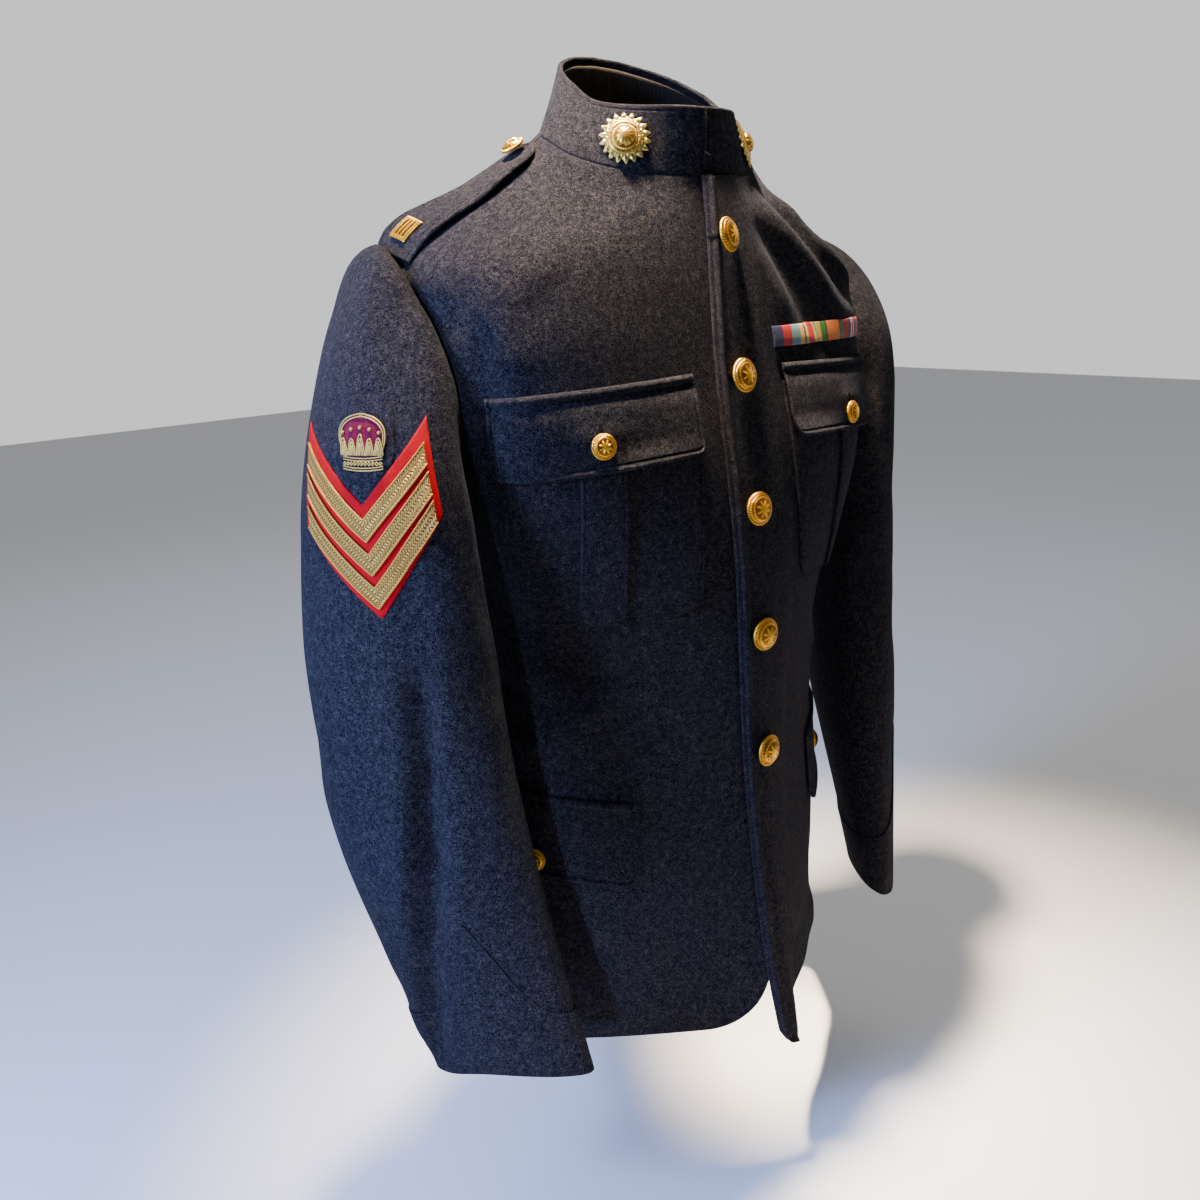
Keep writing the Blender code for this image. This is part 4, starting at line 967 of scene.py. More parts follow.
ribbonSettings = {"barLength": 0.128, "ribPitch": 0.0009, "wall": 1.7, "crown": 0.7}


def ribbonMaterial(name, bands):
    n = Nodes(name)
    uv = n.add("ShaderNodeSeparateXYZ", {"Vector": n.places("UV")})
    along = n.math("DIVIDE", uv.outputs["X"], ribbonSettings["barLength"])
    ramp = n.add("ShaderNodeValToRGB", {"Fac": along})
    ramp.color_ramp.interpolation = "CONSTANT"
    elements = ramp.color_ramp.elements
    while len(elements) > 1:
        elements.remove(elements[-1])
    start = 0.0
    for index, (width, colour) in enumerate(bands):
        element = elements[0] if index == 0 else elements.new(start)
        element.position = start
        element.color = (*colour, 1.0)
        start += width
    ribs = n.math("SINE", n.times(uv.outputs["Y"], 2 * math.pi / ribbonSettings["ribPitch"]))
    n.bump(n.plus(ribs, n.noise(n.places(), 1600, 2.0)), 0.35, 0.0002)
    return n.finish({"Base Color": ramp.outputs["Color"], "Roughness": 0.6})


navy = woolMaterial("navyMelton", woolSettings)
cuffThread = threadMaterial("cuffThread", (0.016, 0.022, 0.038))
thread = threadMaterial("navyThread", (0.0045, 0.0055, 0.010))
scarlet = feltMaterial("scarletFelt", (0.30, 0.0, 0.004), (0.42, 0.004, 0.010), (1.0, 0.1, 0.1), 0.05)
crimson = feltMaterial("crimsonVelvet", (0.07, 0.002, 0.012), (0.20, 0.012, 0.04), (1.0, 0.3, 0.5), 0.25)
brass = brassMaterial("brass", (0.96, 0.50, 0.035), (0.24, 0.08, 0.005))
paleBrass = brassMaterial("badgeBrass", (0.62, 0.47, 0.115), (0.11, 0.068, 0.012))
domeBrass = brassMaterial("badgeDomeBrass", (0.74, 0.42, 0.07), (0.20, 0.10, 0.015))
goldLace = laceMaterial("goldLace", (0.72, 0.42, 0.07), (0.12, 0.055, 0.009))
goldCord = threadMaterial("goldCord", (0.40, 0.26, 0.06), 0.45, 0.7, 1500)
laceCord = threadMaterial("laceCord", (0.44, 0.21, 0.03), 0.5, 0.4, 1900)
tape = threadMaterial("collarTape", (0.032, 0.026, 0.020), 0.8, 0.0, 900)
steel = threadMaterial("hookSteel", (0.10, 0.11, 0.12), 0.45, 0.8)
# Near black: the buttonholes' threads and slit carry painted shade
holeThreadAndSlitShade = threadMaterial("holeThreadAndSlitShade", (0.0008, 0.0009, 0.0015))
print("materials made")

# Sharper creases, in the same columns as the soft folds
bodyCreases = (
    (-206, -138, -204, -250, 13, -5.0),
    (-178, -112, -184, -180, 11, 2.2),
    (-75, -60, -200, -165, 10, -1.2),
    (-118, -395, -205, -452, 7, -1.3),
    (-96, -410, -190, -470, 8, 1.5),
    (-70, -455, -165, -500, 8, -1.5),
    (-60, -480, -150, -540, 9, 1.3),
    (-150, -440, -240, -410, 8, -1.6),
    (-165, -470, -262, -452, 8, 1.3),
    (112, -400, 196, -452, 7, -1.3),
    (96, -412, 186, -478, 8, 1.4),
    (70, -455, 165, -505, 8, -1.3),
    (150, -440, 240, -412, 8, -1.5),
    (46, -76, 104, -174, 9, -5.0),
    (64, -68, 150, -165, 8, 4.5),
    (84, -64, 166, -144, 8, -7.0),
    (102, -60, 186, -130, 7, 5.0),
    (124, -72, 200, -122, 7, -5.0),
    (-268, -420, -362, -384, 8, 1.6),
    (268, -420, 362, -384, 8, 1.4),
    (-285, -455, -380, -430, 9, -1.6),
    (285, -455, 380, -430, 9, -1.8),
    (-330, -300, -392, -210, 9, 1.4),
    (330, -300, 392, -210, 9, 1.6),
    (-365, -330, -432, -226, 8, -1.4),
    (365, -330, 432, -226, 8, -1.2),
    (-385, -100, -470, -92, 9, -1.2),
    (385, -100, 470, -92, 9, -1.2),
    (-250, -640, -262, -745, 12, -1.6),
    (250, -640, 262, -745, 12, -1.6),
    (-428, -400, -432, -470, 9, -1.5),
    (428, -400, 432, -470, 9, -1.3),
    (30, -560, 66, -690, 12, -1.2),
    (24, -738, 27, -820, 17, -9.0),
    (180, -715, 183, -775, 26, 5.5),
    (176, -645, 178, -690, 22, -3.0),
)
rightCreases = (
    (-47, -372, -36, -452, 9, -4.6),
    (-36, -440, -16, -520, 9, -6.0),
    (-18, -508, 12, -588, 9, -6.0),
    (11, -578, 58, -688, 9, -4.6),
    (-28, -372, -18, -452, 9, 2.6),
    (-18, -440, 3, -520, 9, 4.0),
    (2, -508, 32, -588, 9, 4.0),
    (31, -578, 76, -688, 9, 2.6),
    (-24, -118, -60, -215, 9, 1.2),
    (18, -112, 24, -196, 8, -1.1),
    (52, -120, 70, -210, 9, 1.0),
    (-96, -250, -108, -345, 9, -1.5),
    (-112, -300, -122, -400, 8, 1.4),
    (-70, -330, -60, -430, 7, 1.4),
    (-14, -470, 24, -560, 7, 1.6),
    (-52, -470, -22, -560, 7, 1.3),
    (40, -560, 92, -660, 8, 1.2),
    (60, -400, 30, -470, 8, -1.2),
    (110, -300, 128, -390, 9, -1.5),
    (128, -420, 110, -520, 9, 1.5),
    (86, -250, 96, -330, 9, 1.2),
)
leftCreases = tuple((x0 * 0.94 + 5, z0 - 6, x1 * 1.05, z1 - 9, width * 1.1, rise * 0.9)
                    for x0, z0, x1, z1, width, rise in rightCreases)
headPuffs = {-1: (4.0, 9.5), 1: (2.0, 5.5)}     # fullness of the whole sleeve head and its top
# How far a sleeve's hem drops: share round the sleeve, width, drop
hemDrops = {-1: ((0.68, 0.10, 9.0),), 1: ((0.42, 0.13, 17.0), (0.08, 0.13, -10.0))}

body = bodySkin()
body.fold(bodyCreases)
sleeves = {-1: sleeveSkin(body, -1, sleeveRight, sleeveRightFolds + rightCreases),
           1: sleeveSkin(body, 1, sleeveLeft, sleeveLeftFolds + leftCreases)}
for side, (rise, top) in headPuffs.items():
    skin = sleeves[side]
    far, over = skin.along[:, None], skin.around[None, :]
    whole = smooth(far / 0.022) * smooth((0.2 - far) / 0.17) * np.exp(-((over - 0.5) / 0.26)**4)
    crest = smooth(far / 0.009) * smooth((0.11 - far) / 0.09) * np.exp(-((over - 0.5) / 0.14)**2)
    skin.points = skin.points + skin.normals * (rise * whole + top * crest)[..., None]
    for where, width, drop in hemDrops[side]:
        apart = np.abs((over - where + 0.5) % 1 - 0.5)
        skin.points[..., 2] -= drop * smooth((far - 0.88) / 0.12) * np.exp(-(apart / width)**2)
    skin.findNormals()
collar = collarSkin(body)
sideNames = ((-1, "right", "Right"), (1, "left", "Left"))
print("skins made")


# Fronts and backs: a corded front edge, with a groove beside the stitch line
frontSettings = {"edgeProud": 3.4, "edgeMiddle": 6.4, "groove": 0.7, "grooveAt": 3.2}
frontRings = (0, 0.3, 0.9, 1.8, 2.5, 3.2, 3.9, 5.0, 6.4, 7.8, 9.4, 11.4)
frontCuts = {-1: (0.33, 0.74, 0.199), 1: (0.34, 0.75, 0.208)}
backCut = (0.26, 0.75, 0.152)
hemGroove = [(("bottom",), 9.0, 0.3, 0.7)]


def frontLift(grid, sides):
    start, end = liftEnds
    run = body.read(body.run, *body.index(grid[..., 0], grid[..., 1]))
    return edgeLift * (1 - smooth((run - start) / (end - start)))


def noLift(grid, sides):
    return np.zeros(grid.shape[:2])


def frontEdgeShape(grid, sides):
    own = sides["left"]
    roll = frontSettings["edgeProud"] * np.exp(-((own - frontSettings["edgeMiddle"]) / 3.4)**2)
    return roll - frontSettings["groove"] * np.exp(-((own - frontSettings["grooveAt"]) / 0.6)**2)


fronts, backs = {}, {}
for side, name, tag in sideNames:
    left = side > 0
    lift = frontLift if left else noLift
    fronts[side] = clothWall(
        "front" + tag, body, panelGrid(lambda detail: frontSides(side, detail)),
        lambda g, s: lift(g, s) - wall, lift, navy, "front_" + name, frontCuts[side],
        under=[fronts[-1]["piece"]] if left else (), gap=0.4, rings=frontRings, grooves=hemGroove,
        shape=frontEdgeShape if left else None)
    backs[side] = clothWall("back" + tag, body, panelGrid(lambda detail: backSides(side, detail)),
                            -wall, 0.0, navy, "back_" + name, backCut, grooves=hemGroove)
for side, name, tag in sideNames:
    front, back = fronts[side], backs[side]
    edgeSeams("bodySeams" + tag, ((front, "top"), (front, "right"), (back, "top"), (back, "left"),
                                  (back, "right")), 0.8)
print("body made")


# Collar, with a ribbed band inside
collarSettings = {"stitch": 4.6, "endStitch": 5.0, "bandWall": 1.2, "bandEnd": 1.93, "ribs": 104,
                  "ribEnd": 1.9, "rib": 0.34, "seam": 1.25}


def openGrid(first, last, columns, low, high, rows):
    around, up = np.meshgrid(np.linspace(first, last, columns), np.linspace(low, high, rows))
    return np.stack([around, up], axis=-1)


def trimmedEnds(skin, grid, distance):
    grid[:, 0] = beside(skin, grid[:, 0], distance)
    grid[:, -1] = beside(skin, grid[:, -1], -distance)
    return grid


grid = trimmedEnds(collar, openGrid(-2, 2, 81, 0.7 / collarHeight, 1.0, 12), collarEndGap / 2)
collarPiece = clothWall(
    "collarStand", collar, grid[::-1], -collarWall, 0.0, navy, "collar", (0.46, 0.06, 0.0236),
    step=3.2, rings=(0, 0.3, 0.9, 1.7),
    grooves=[(("top",), collarSettings["stitch"], 0.4, 0.6),
             (("left", "right"), collarSettings["endStitch"], 0.35, 0.6)])
bandEnd, ribEnd = collarSettings["bandEnd"], collarSettings["ribEnd"]
clothWall("collarBand", collar, openGrid(-bandEnd, bandEnd, 81, 0.2, 0.86, 8)[::-1],
          -collarWall - 1.5, -collarWall - 0.3, tape, None, (0.44, 0.032, 0.0138),
          step=3.0, rings=(0, 0.4))
ribs = [collar.at(np.array([place, place]), np.array([0.24, 0.82]), -collarWall - 1.62)
        for place in np.linspace(-ribEnd, ribEnd, collarSettings["ribs"])]
tubes("collarBandRibs", ribs, collarSettings["rib"], tape, sides=1)
stitching("collarStitching", seamStitches(collarPiece, ("top",), collarSettings["stitch"])
          + seamStitches(collarPiece, ("left", "right"), collarSettings["endStitch"]), thread)
edgeSeams("collarSeam", [(collarPiece, "bottom")], collarSettings["seam"])
print("collar made")


# Sleeves and cuffs
sleeveParts = (("upper", 1 / 6, 5 / 6, 49, (0.26, 0.66, 0.134)),
               ("under", -1 / 6, 1 / 6, 25, (0.16, 0.53, 0.066)))
cuffSettings = {"wall": 1.3, "stitch": 2.2, "hemStitch": 8.0, "overHem": 1.0}
armholeSettings = {"sink": -0.9, "cord": 1.45}


def cuffGrid(skin):
    shares = np.array([row[0] for row in cuffTop])
    places = np.linspace(0, len(shares) - 1, 4 * len(shares) - 3)
    fineShares = np.interp(places, np.arange(len(shares)), shares)
    tops = np.interp(fineShares, shares, [row[1] for row in cuffTop])
    grid = []
    for share, top in zip(fineShares, tops):
        low = float(skin.at(share, 1.0)[2]) + cuffSettings["overHem"]
        column = skin.at(np.full(len(skin.along), share), skin.along)[:, 2]
        heights = top + (low - top) * even(14)
        grid.append([(share, place) for place in np.interp(-heights, -column, skin.along)])
    return np.swapaxes(np.array(grid), 0, 1)


walls = {}
for side, name, tag in sideNames:
    skin = sleeves[side]
    for part, first, last, columns, cut in sleeveParts:
        grid = trimmedEnds(skin, openGrid(first, last, columns, 0, 1, 121), seam / 2)
        walls[part, side] = clothWall(f"sleeve{tag}{part.title()}", skin, grid, -wall, 0.0, navy,
                                      f"sleeve_{name}_{part}", cut, rings=(0, 0.3, 0.9, 2.0))
    upper, lower = walls["upper", side], walls["under", side]
    cuff = clothWall(
        "cuff" + tag, skin, cuffGrid(skin), 0.0, cuffSettings["wall"], navy, "cuff_" + name,
        (0.26, 0.14, 0.0181), under=[upper["piece"], lower["piece"]], gap=0.15, step=3.4,
        rings=(0, 0.3, 0.9), roll=0.95, grooves=[(("top",), cuffSettings["stitch"], 0.12, 0.5),
                                                 (("bottom",), cuffSettings["hemStitch"], 0.25, 0.6)])
    stitching("cuffStitching" + tag, seamStitches(cuff, ("top",), cuffSettings["stitch"]), cuffThread)
    edgeSeams("sleeveSeams" + tag, ((upper, "left"), (upper, "right")), 0.8)
    around, sink = np.linspace(0, 1, 121), armholeSettings["sink"]
    rim, further = skin.at(around, np.zeros(121), sink), skin.at(around, np.full(121, 0.01), sink)
    away = (further - rim) / np.linalg.norm(further - rim, axis=1, keepdims=True)
    tubes("armholeSeam" + tag, [rim - away * 0.5], armholeSettings["cord"], navy)
print("sleeves made")


# Pockets and flaps
pocketSettings = {"wall": 2.5, "stitch": 4.0, "pleatWall": 3.1, "pleatStitch": 3.2}
flapSettings = {"rim": 0.9, "groove": 1.0, "stitch": 4.4, "chestCurl": 3.2, "lowerCurl": 1.6}
freeEdges = ("left", "bottom", "right")


def clothGrid(corners, radii, columns, rows, side):
    return body.onCloth(sheet(corners, radii, columns, rows) * (side, 1))


def flapPiece(name, node, corners, shapeTable, side, under, cut, curl):
    table = np.array(shapeTable, dtype=float)

    def waves(sides):
        edge = smooth(1 - sides["bottom"] / 18) * (0.5 + 0.6 * np.sin(sides["left"] / 24 + side))
        middle = smooth(1 - sides["top"] / 14) * smooth(sides["top"] / 3)
        return curl * edge + 0.5 * np.sin(sides["left"] / 13 + 2 * side) * middle

    def heightFrom(column):
        def height(grid, sides):
            depth = sides["top"] / (sides["top"] + sides["bottom"]) * table[-1, 0]
            return eased(table[:, [0, column]], depth)[..., 0] + waves(sides)
        return height

    def rim(grid, sides):
        edge = np.minimum.reduce([sides[key] for key in freeEdges])
        return flapSettings["rim"] * np.exp(-((edge - 2.0) / 1.5)**2)

    return clothWall(name, body, clothGrid(corners, (0, 0, 11, 11), 40, 40, side), heightFrom(1),
                     heightFrom(2), navy, node, cut, under=under, gap=0.3, step=3.2,
                     rings=(0, 0.3, 0.9, 1.5, 2.3), shape=rim,
                     grooves=[(freeEdges, flapSettings["stitch"], flapSettings["groove"], 0.8),
                              (("top",), 6.8, 1.4, 1.1)])


flaps = {}
for side, name, tag in sideNames:
    front = fronts[side]["piece"]
    pocket = clothWall("chestPocket" + tag, body, clothGrid(chestPocket, (0, 0, 22, 22), 30, 30, side),
                       0.0, pocketSettings["wall"], navy, "chest_pocket_" + name, (0.17, 0.18, 0.0256),
                       under=[front], gap=0.2, step=3.6,
                       grooves=[(freeEdges, pocketSettings["stitch"], 0.9, 0.7)])
    pleat = clothWall("chestPleat" + tag, body, clothGrid(pleatCorners, (0, 0, 0, 0), 8, 30, side),
                      0.0, pocketSettings["pleatWall"], navy, "chest_pleat_" + name,
                      (0.05, 0.16, 0.0055), under=[pocket["piece"]], gap=0.2, step=3.2,
                      grooves=[(("left", "right"), pocketSettings["pleatStitch"], 0.4, 0.5)])
    chest = flapPiece("chestFlap" + tag, "chest_flap_" + name, chestFlap, chestFlapShape, side,
                      [front, pocket["piece"], pleat["piece"]], (0.18, 0.08, 0.0104),
                      flapSettings["chestCurl"])
    lower = flapPiece("lowerFlap" + tag, "lower_flap_" + name, lowerFlap, lowerFlapShape, side,
                      [front], (0.19, 0.09, 0.0119), flapSettings["lowerCurl"])
    flaps["chest", side], flaps["lower", side] = chest, lower
    lines = seamStitches(pocket, freeEdges, pocketSettings["stitch"])
    lines += seamStitches(pleat, ("left", "right"), pocketSettings["pleatStitch"])
    for flap in (chest, lower):
        lines += seamStitches(flap, freeEdges, flapSettings["stitch"])
    stitching("pocketStitching" + tag, lines, thread)
print("pockets made")


# Shoulder straps: lifted along the middle, with the outer end let down to the sleeve
strapSettings = {"start": 94, "end": 208.0, "wall": 3.6, "crown": 1.5, "roundedEnd": 20,
                 "standsOff": 2.6, "endDrop": 3.0, "thinner": 1.6, "stitch": 5.2}


def strapSkin(side):
    out = np.linspace(strapRows[0][0], strapRows[-1][0], 40)
    across = np.linspace(-1, 1, 9)
    frontY, frontZ, backY, backZ = [column[:, None] for column in eased(strapRows, out).T]
    share = (across[None] + 1) / 2
    crown = strapSettings["crown"] * (1 - across**2)
    points = np.stack([np.broadcast_to(side * out[:, None], (len(out), 9)),
                       frontY + (backY - frontY) * share,
                       frontZ + (backZ - frontZ) * share + crown], axis=-1)
    skin = Skin(across, out, points, 0.0, closed=False)
    if skin.normals[..., 2].mean() < 0:
        skin.normals = -skin.normals
    return skin


def strapFace(grid, sides):
    t = sides["top"] / (sides["top"] + sides["bottom"])
    lift = strapSettings["standsOff"] * smooth((1 - t) / 0.3) * (0.55 + 0.45 * np.sin(math.pi * t))
    return lift - strapSettings["endDrop"] * smooth((t - 0.86) / 0.16)


def strapUnderside(grid, sides):
    thinner = strapSettings["thinner"] * smooth((14 - sides["bottom"]) / 14)
    return strapFace(grid, sides) - (strapSettings["wall"] - thinner)


straps = {}
for side, name, tag in sideNames:
    rows = []
    for out in np.linspace(strapSettings["start"], strapSettings["end"], 60):
        into = min((out - strapSettings["start"] + 0.6) / strapSettings["roundedEnd"], 1)
        rows.append([(across * math.sqrt(1 - (1 - into)**2), out) for across in even(16) * 2 - 1])
    straps[side] = clothWall(
        "shoulderStrap" + tag, strapSkin(side), np.array(rows), strapUnderside, strapFace, navy,
        "shoulder_strap_" + name, (0.06, 0.14, 0.0068),
        under=[fronts[side]["piece"], backs[side]["piece"], collarPiece["piece"]], gap=0.25,
        step=3.0, rings=(0, 0.4, 1.0, 1.7),
        grooves=[(("left", "right", "top"), strapSettings["stitch"], 0.45, 0.6)])
    stitching("strapStitching" + tag,
              seamStitches(straps[side], ("left", "right"), strapSettings["stitch"]), thread)
print("straps made")


# Buttons and badges sit on their CAD solids, facing along the thin way
def seat(node, raised=0.0):
    points = np.array([tuple(vert.co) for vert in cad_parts[node].data.vertices])
    centre = points.mean(axis=0)
    axis = np.linalg.eigh(np.cov((points - centre).T))[1][:, 0]
    outwards = centre - np.array([0.0, 0.0, centre[2]])
    if axis @ outwards < 0:
        axis = -axis
    heights = (points - centre) @ axis
    base = centre + axis * heights.min()
    flat = points[heights < heights.min() + 0.0006]
    base = flat.mean(axis=0) if len(flat) > 3 else base
    face = Vector(axis).to_track_quat("Z", "Y").to_matrix().to_4x4()
    return Matrix.Translation(Vector(base + axis * raised * mm)) @ face


# A profile turned round its axis; "relief" gives radius, height and the painted shade of its hollows at
# each angle
def turnedMesh(name, profile, steps, relief, material, matrix, *nodes):
    rows = np.array(profile, dtype=float)
    bm = bmesh.new()
    bmesh.ops.create_grid(bm, x_segments=steps, y_segments=len(rows) - 1, size=1.0)
    layer = bm.verts.layers.float.new("recessShade")
    for vert, (row, column) in gridPlaces(bm, len(rows) - 1, steps).items():
        angle = 2 * math.pi * (column % steps) / steps
        radius, height, vert[layer] = relief(*rows[row], angle)
        place = Vector((radius * math.cos(angle), radius * math.sin(angle), height))
        vert.co = matrix @ (place * mm)
    bmesh.ops.remove_doubles(bm, verts=bm.verts[:], dist=1e-6)
    turnedOut(bm)
    return trim(meshPiece(name, bm, material), "brass", *nodes)


buttonSettings = {"ropeTurns": 36, "ropeHeight": 0.5, "starPoints": 8, "starHeight": 0.9,
                  "beads": 22, "steps": 144}
# Rim radius, rim height, crown height and rings of the dome
buttonSizes = {"front": (13.0, 2.7, 7.6, 20), "small": (9.3, 2.1, 5.8, 18)}
buttonLifts = {("strap", "right"): 1.6, ("strap", "left"): 1.6, ("lower", "left"): -1.5}
rimShape = ((0.98, 0.45), (1.0, 0.8), (0.985, 1.05), (0.955, 1.22), (0.92, 1.26), (0.885, 1.2),
            (0.86, 1.05))


def buttonRelief(rim):
    def relief(radius, height, angle):
        share, recessShade = radius / rim, 0.0
        if 0.8 < share < 1.01 and height > 1.5:
            twist = math.cos(buttonSettings["ropeTurns"] * angle + share * 18)
            height += buttonSettings["ropeHeight"] * twist
            # Painted shade in the rope's troughs and on the inner slope of the rim
            recessShade = (0.75 * float(smooth((0.1 - twist) / 0.9))
                      + 0.6 * float(smooth((0.86 - share) / 0.03)))
        elif share <= 0.8:
            turn = (buttonSettings["starPoints"] * angle / (2 * math.pi)) % 1
            star = float(smooth((0.16 + 0.40 * (1 - abs(2 * turn - 1)) - share) / 0.05 + 0.5))
            beads = 0.65 + 0.35 * math.cos(buttonSettings["beads"] * angle)
            ring = math.exp(-((share - 0.68) / 0.045)**2) * beads
            height += buttonSettings["starHeight"] * star * (1 - 0.5 * share) + 0.6 * ring
            # Painted shade on the field between the star's points and the bead ring
            recessShade = 0.9 * (1 - max(star, float(smooth(ring / 0.6))))
        return radius, height, min(1.0, recessShade)
    return relief


def domeProfile(rim, rimHeight, crown, fine):
    rows = [(0, 0), (rim * 0.72, 0)] + [(rim * out, rimHeight * up) for out, up in rimShape]
    for share in np.linspace(0.84, 0.0, fine):
        rise = (crown - rimHeight) * math.sqrt(max(0.0, 1 - (share / 0.9)**2))
        rows.append((rim * share, rimHeight + rise))
    return rows


def button(name, node, size, raised=0.0):
    sizes = buttonSizes[size]
    turnedMesh(name, domeProfile(*sizes), buttonSettings["steps"], buttonRelief(sizes[0]), brass,
               seat(node, raised), node)


for number in range(1, 6):
    button(f"frontButton{number}", f"front_button_{number}", "front")
for side, name, tag in sideNames:
    for kind in ("chest", "lower", "strap"):
        button(f"{kind}Button{tag}", f"{kind}_button_{name}", "small",
               buttonLifts.get((kind, name), 0.0))
print("buttons made")


# Collar badges: two rings of petals under a ribbed dome
badgeSettings = {"petals": 18, "petalThick": 1.1, "collarBeads": 30, "gores": 12, "steps": 120}
# Start, length, width, height and lean of each ring's petals
petalRings = ((11.4, 7.6, 5.0, 1.0, 12), (9.6, 6.4, 4.2, 2.0, 20))
domeFoot = [(0, 0.2), (11.5, 0.2), (12.6, 0.8), (12.4, 1.9), (11.4, 2.5), (10.2, 2.6), (9.6, 2.3),
            (9.2, 2.6), (8.7, 3.1), (8.2, 3.2), (7.8, 3.0)]


def petal(bm, matrix, length, width, thick):
    layer = bm.verts.layers.float.get("recessShade") or bm.verts.layers.float.new("recessShade")
    for vert in bmesh.ops.create_grid(bm, x_segments=8, y_segments=10, size=1.0)["verts"]:
        t, s = (vert.co.y + 1) / 2, vert.co.x
        wide = width * math.sin(math.pi * min(1.0, 0.06 + 0.94 * t))**0.75 * (1 - 0.25 * t)
        crown = (1 - abs(s)**1.6) * math.sin(math.pi * (0.1 + 0.85 * t))**0.6
        ripple = 0.35 * math.sin(t * 14) * (1 - abs(s))
        vein = math.exp(-(s / 0.2)**2)
        rise = thick * (crown + ripple - 0.45 * vein + 0.25)
        # Painted shade along each petal's vein, at its edges and at its foot under the dome
        vert[layer] = max(0.9 * vein, 0.9 * float(smooth((abs(s) - 0.7) / 0.3)),
                          float(smooth((0.3 - t) / 0.3)))
        vert.co = matrix @ (Vector((wide * s / 2, length * t, rise)) * mm)


def badgeRelief(radius, height, angle):
    # Painted shade in two rings round the dome's foot and between the dome's gores
    recessShade = 0.8 if 9.3 < radius < 10.0 or 7.4 < radius < 8.0 else 0.0
    if 8.4 < radius < 9.5:
        height += 0.4 * math.cos(badgeSettings["collarBeads"] * angle)
    if radius < 7.3 and height > 3.2:
        gore = math.cos(badgeSettings["gores"] * angle)
        radius *= 1 + 0.035 * gore
        recessShade = 0.7 * float(smooth((-gore - 0.3) / 0.6)) * min(1.0, radius / 4)
    return radius, height, recessShade


dome = [(7.5 * math.cos(t), 3.0 + 5.0 * math.sin(t)) for t in np.linspace(0, math.pi / 2, 12)]
for side, name, tag in sideNames:
    matrix = seat("collar_badge_" + name)
    bm = bmesh.new()
    for ring, (start, length, width, high, lean) in enumerate(petalRings):
        for k in range(badgeSettings["petals"]):
            turn = 2 * math.pi * (k + 0.5 * ring) / badgeSettings["petals"]
            place = (Matrix.Rotation(turn, 4, "Z") @ Matrix.Translation(Vector((0, start, high)) * mm)
                     @ Matrix.Rotation(math.radians(-lean), 4, "X"))
            petal(bm, matrix @ place, length, width, badgeSettings["petalThick"])
    trim(meshPiece("collarBadge" + tag, bm, paleBrass), "brass", "collar_badge_" + name)
    turnedMesh("collarBadgeDome" + tag, domeFoot + dome, badgeSettings["steps"], badgeRelief,
               domeBrass, matrix)
print("badges made")


# Title plates: a frame with plain bars; "across" runs from -1 to 1 over the strap
plateSettings = {"out": 193, "length": 15.12, "across": 0.42, "endBar": 2.2, "sideBar": 0.085,
                 "bar": 0.045, "bars": (-0.27, -0.09, 0.09, 0.27), "wall": 1.3, "barProud": 0.1}
half, low = plateSettings["across"], plateSettings["out"] - plateSettings["length"] / 2
high, endBar = low + plateSettings["length"], plateSettings["endBar"]
sideBar, bar = plateSettings["sideBar"], plateSettings["bar"]
strips = [(-half, half, low, low + endBar), (-half, half, high - endBar, high),
          (-half, -half + sideBar, low, high), (half - sideBar, half, low, high)]
strips += [(x - bar, x + bar, low, high) for x in plateSettings["bars"]]
for side, name, tag in sideNames:
    skin = strapSkin(side)
    for index, (first, last, inner, outer) in enumerate(strips):
        clothWall(f"titlePlate{tag}{index}", skin, openGrid(first, last, 5, inner, outer, 9), 0.0,
                  plateSettings["wall"] + plateSettings["barProud"] * (index > 3), brass,
                  "title_plate_" + name if index == 0 else None, under=[straps[side]["piece"]],
                  gap=0.25, step=1.2, rings=(0, 0.2), roll=0.6, slotName="brass")
print("plates made")


# Rank badge on the right sleeve
rankSettings = {"backing": 1.0, "bar": 1.2, "barInset": 5, "cord": 0.62, "patch": 1.0}
arm = sleeves[-1]
armUnder = [walls["upper", -1]["piece"]]


def chevronGrid(edges, inset, rows, columns):
    fore, middle, hind = rankPlace
    grid = []
    for share in even(rows):
        point, foreEnd, hindEnd = [top * (1 - share) + low * share for top, low in zip(*edges)]
        across = np.interp(even(columns), (0, 0.5, 1), (fore + inset, middle, hind - inset))
        heights = np.interp(across, (fore, middle, hind), (foreEnd, point, hindEnd))
        grid.append(list(zip(across, heights)))
    return arm.onCloth(np.array(grid))


backing = clothWall("rankBacking", arm, chevronGrid(rankBacking, 0, 24, 48), 0.0,
                    rankSettings["backing"], scarlet, "rank_backing", (0.12, 0.14, 0.0089),
                    under=armUnder, gap=0.15, step=2.6, rings=(0, 0.3), slotName="scarlet")
armUnder.append(backing["piece"])
cords = []
for number, edges in enumerate(rankBars, start=1):
    lace = clothWall(f"rankChevron{number}", arm, chevronGrid(edges, rankSettings["barInset"], 8, 60),
                     0.0, rankSettings["bar"], goldLace, f"rank_chevron_{number}",
                     (0.16, 0.013, 0.00203), under=[backing["piece"]], gap=0.1, step=1.6,
                     rings=(0, 0.3, 0.9), slotName="lace")
    for edge in ("top", "bottom"):
        points, normals = wallLine(lace, edge, 0.9)
        cords.append(points + normals * 0.1)
tubes("rankLaceCords", cords, rankSettings["cord"], laceCord, "lace", sides=3)
patch = sheet(((-24, 48), (24, 48), (24, -5), (-24, -5)), (16, 16, 20, 20), 16, 16) + crownPlace
clothWall("rankPatch", arm, arm.onCloth(patch), 0.0, rankSettings["patch"], navy, "rank_patch",
          (0.05, 0.055, 0.0023), under=armUnder, gap=0.15, step=2.4, rings=(0, 0.3))
print("rank badge made")


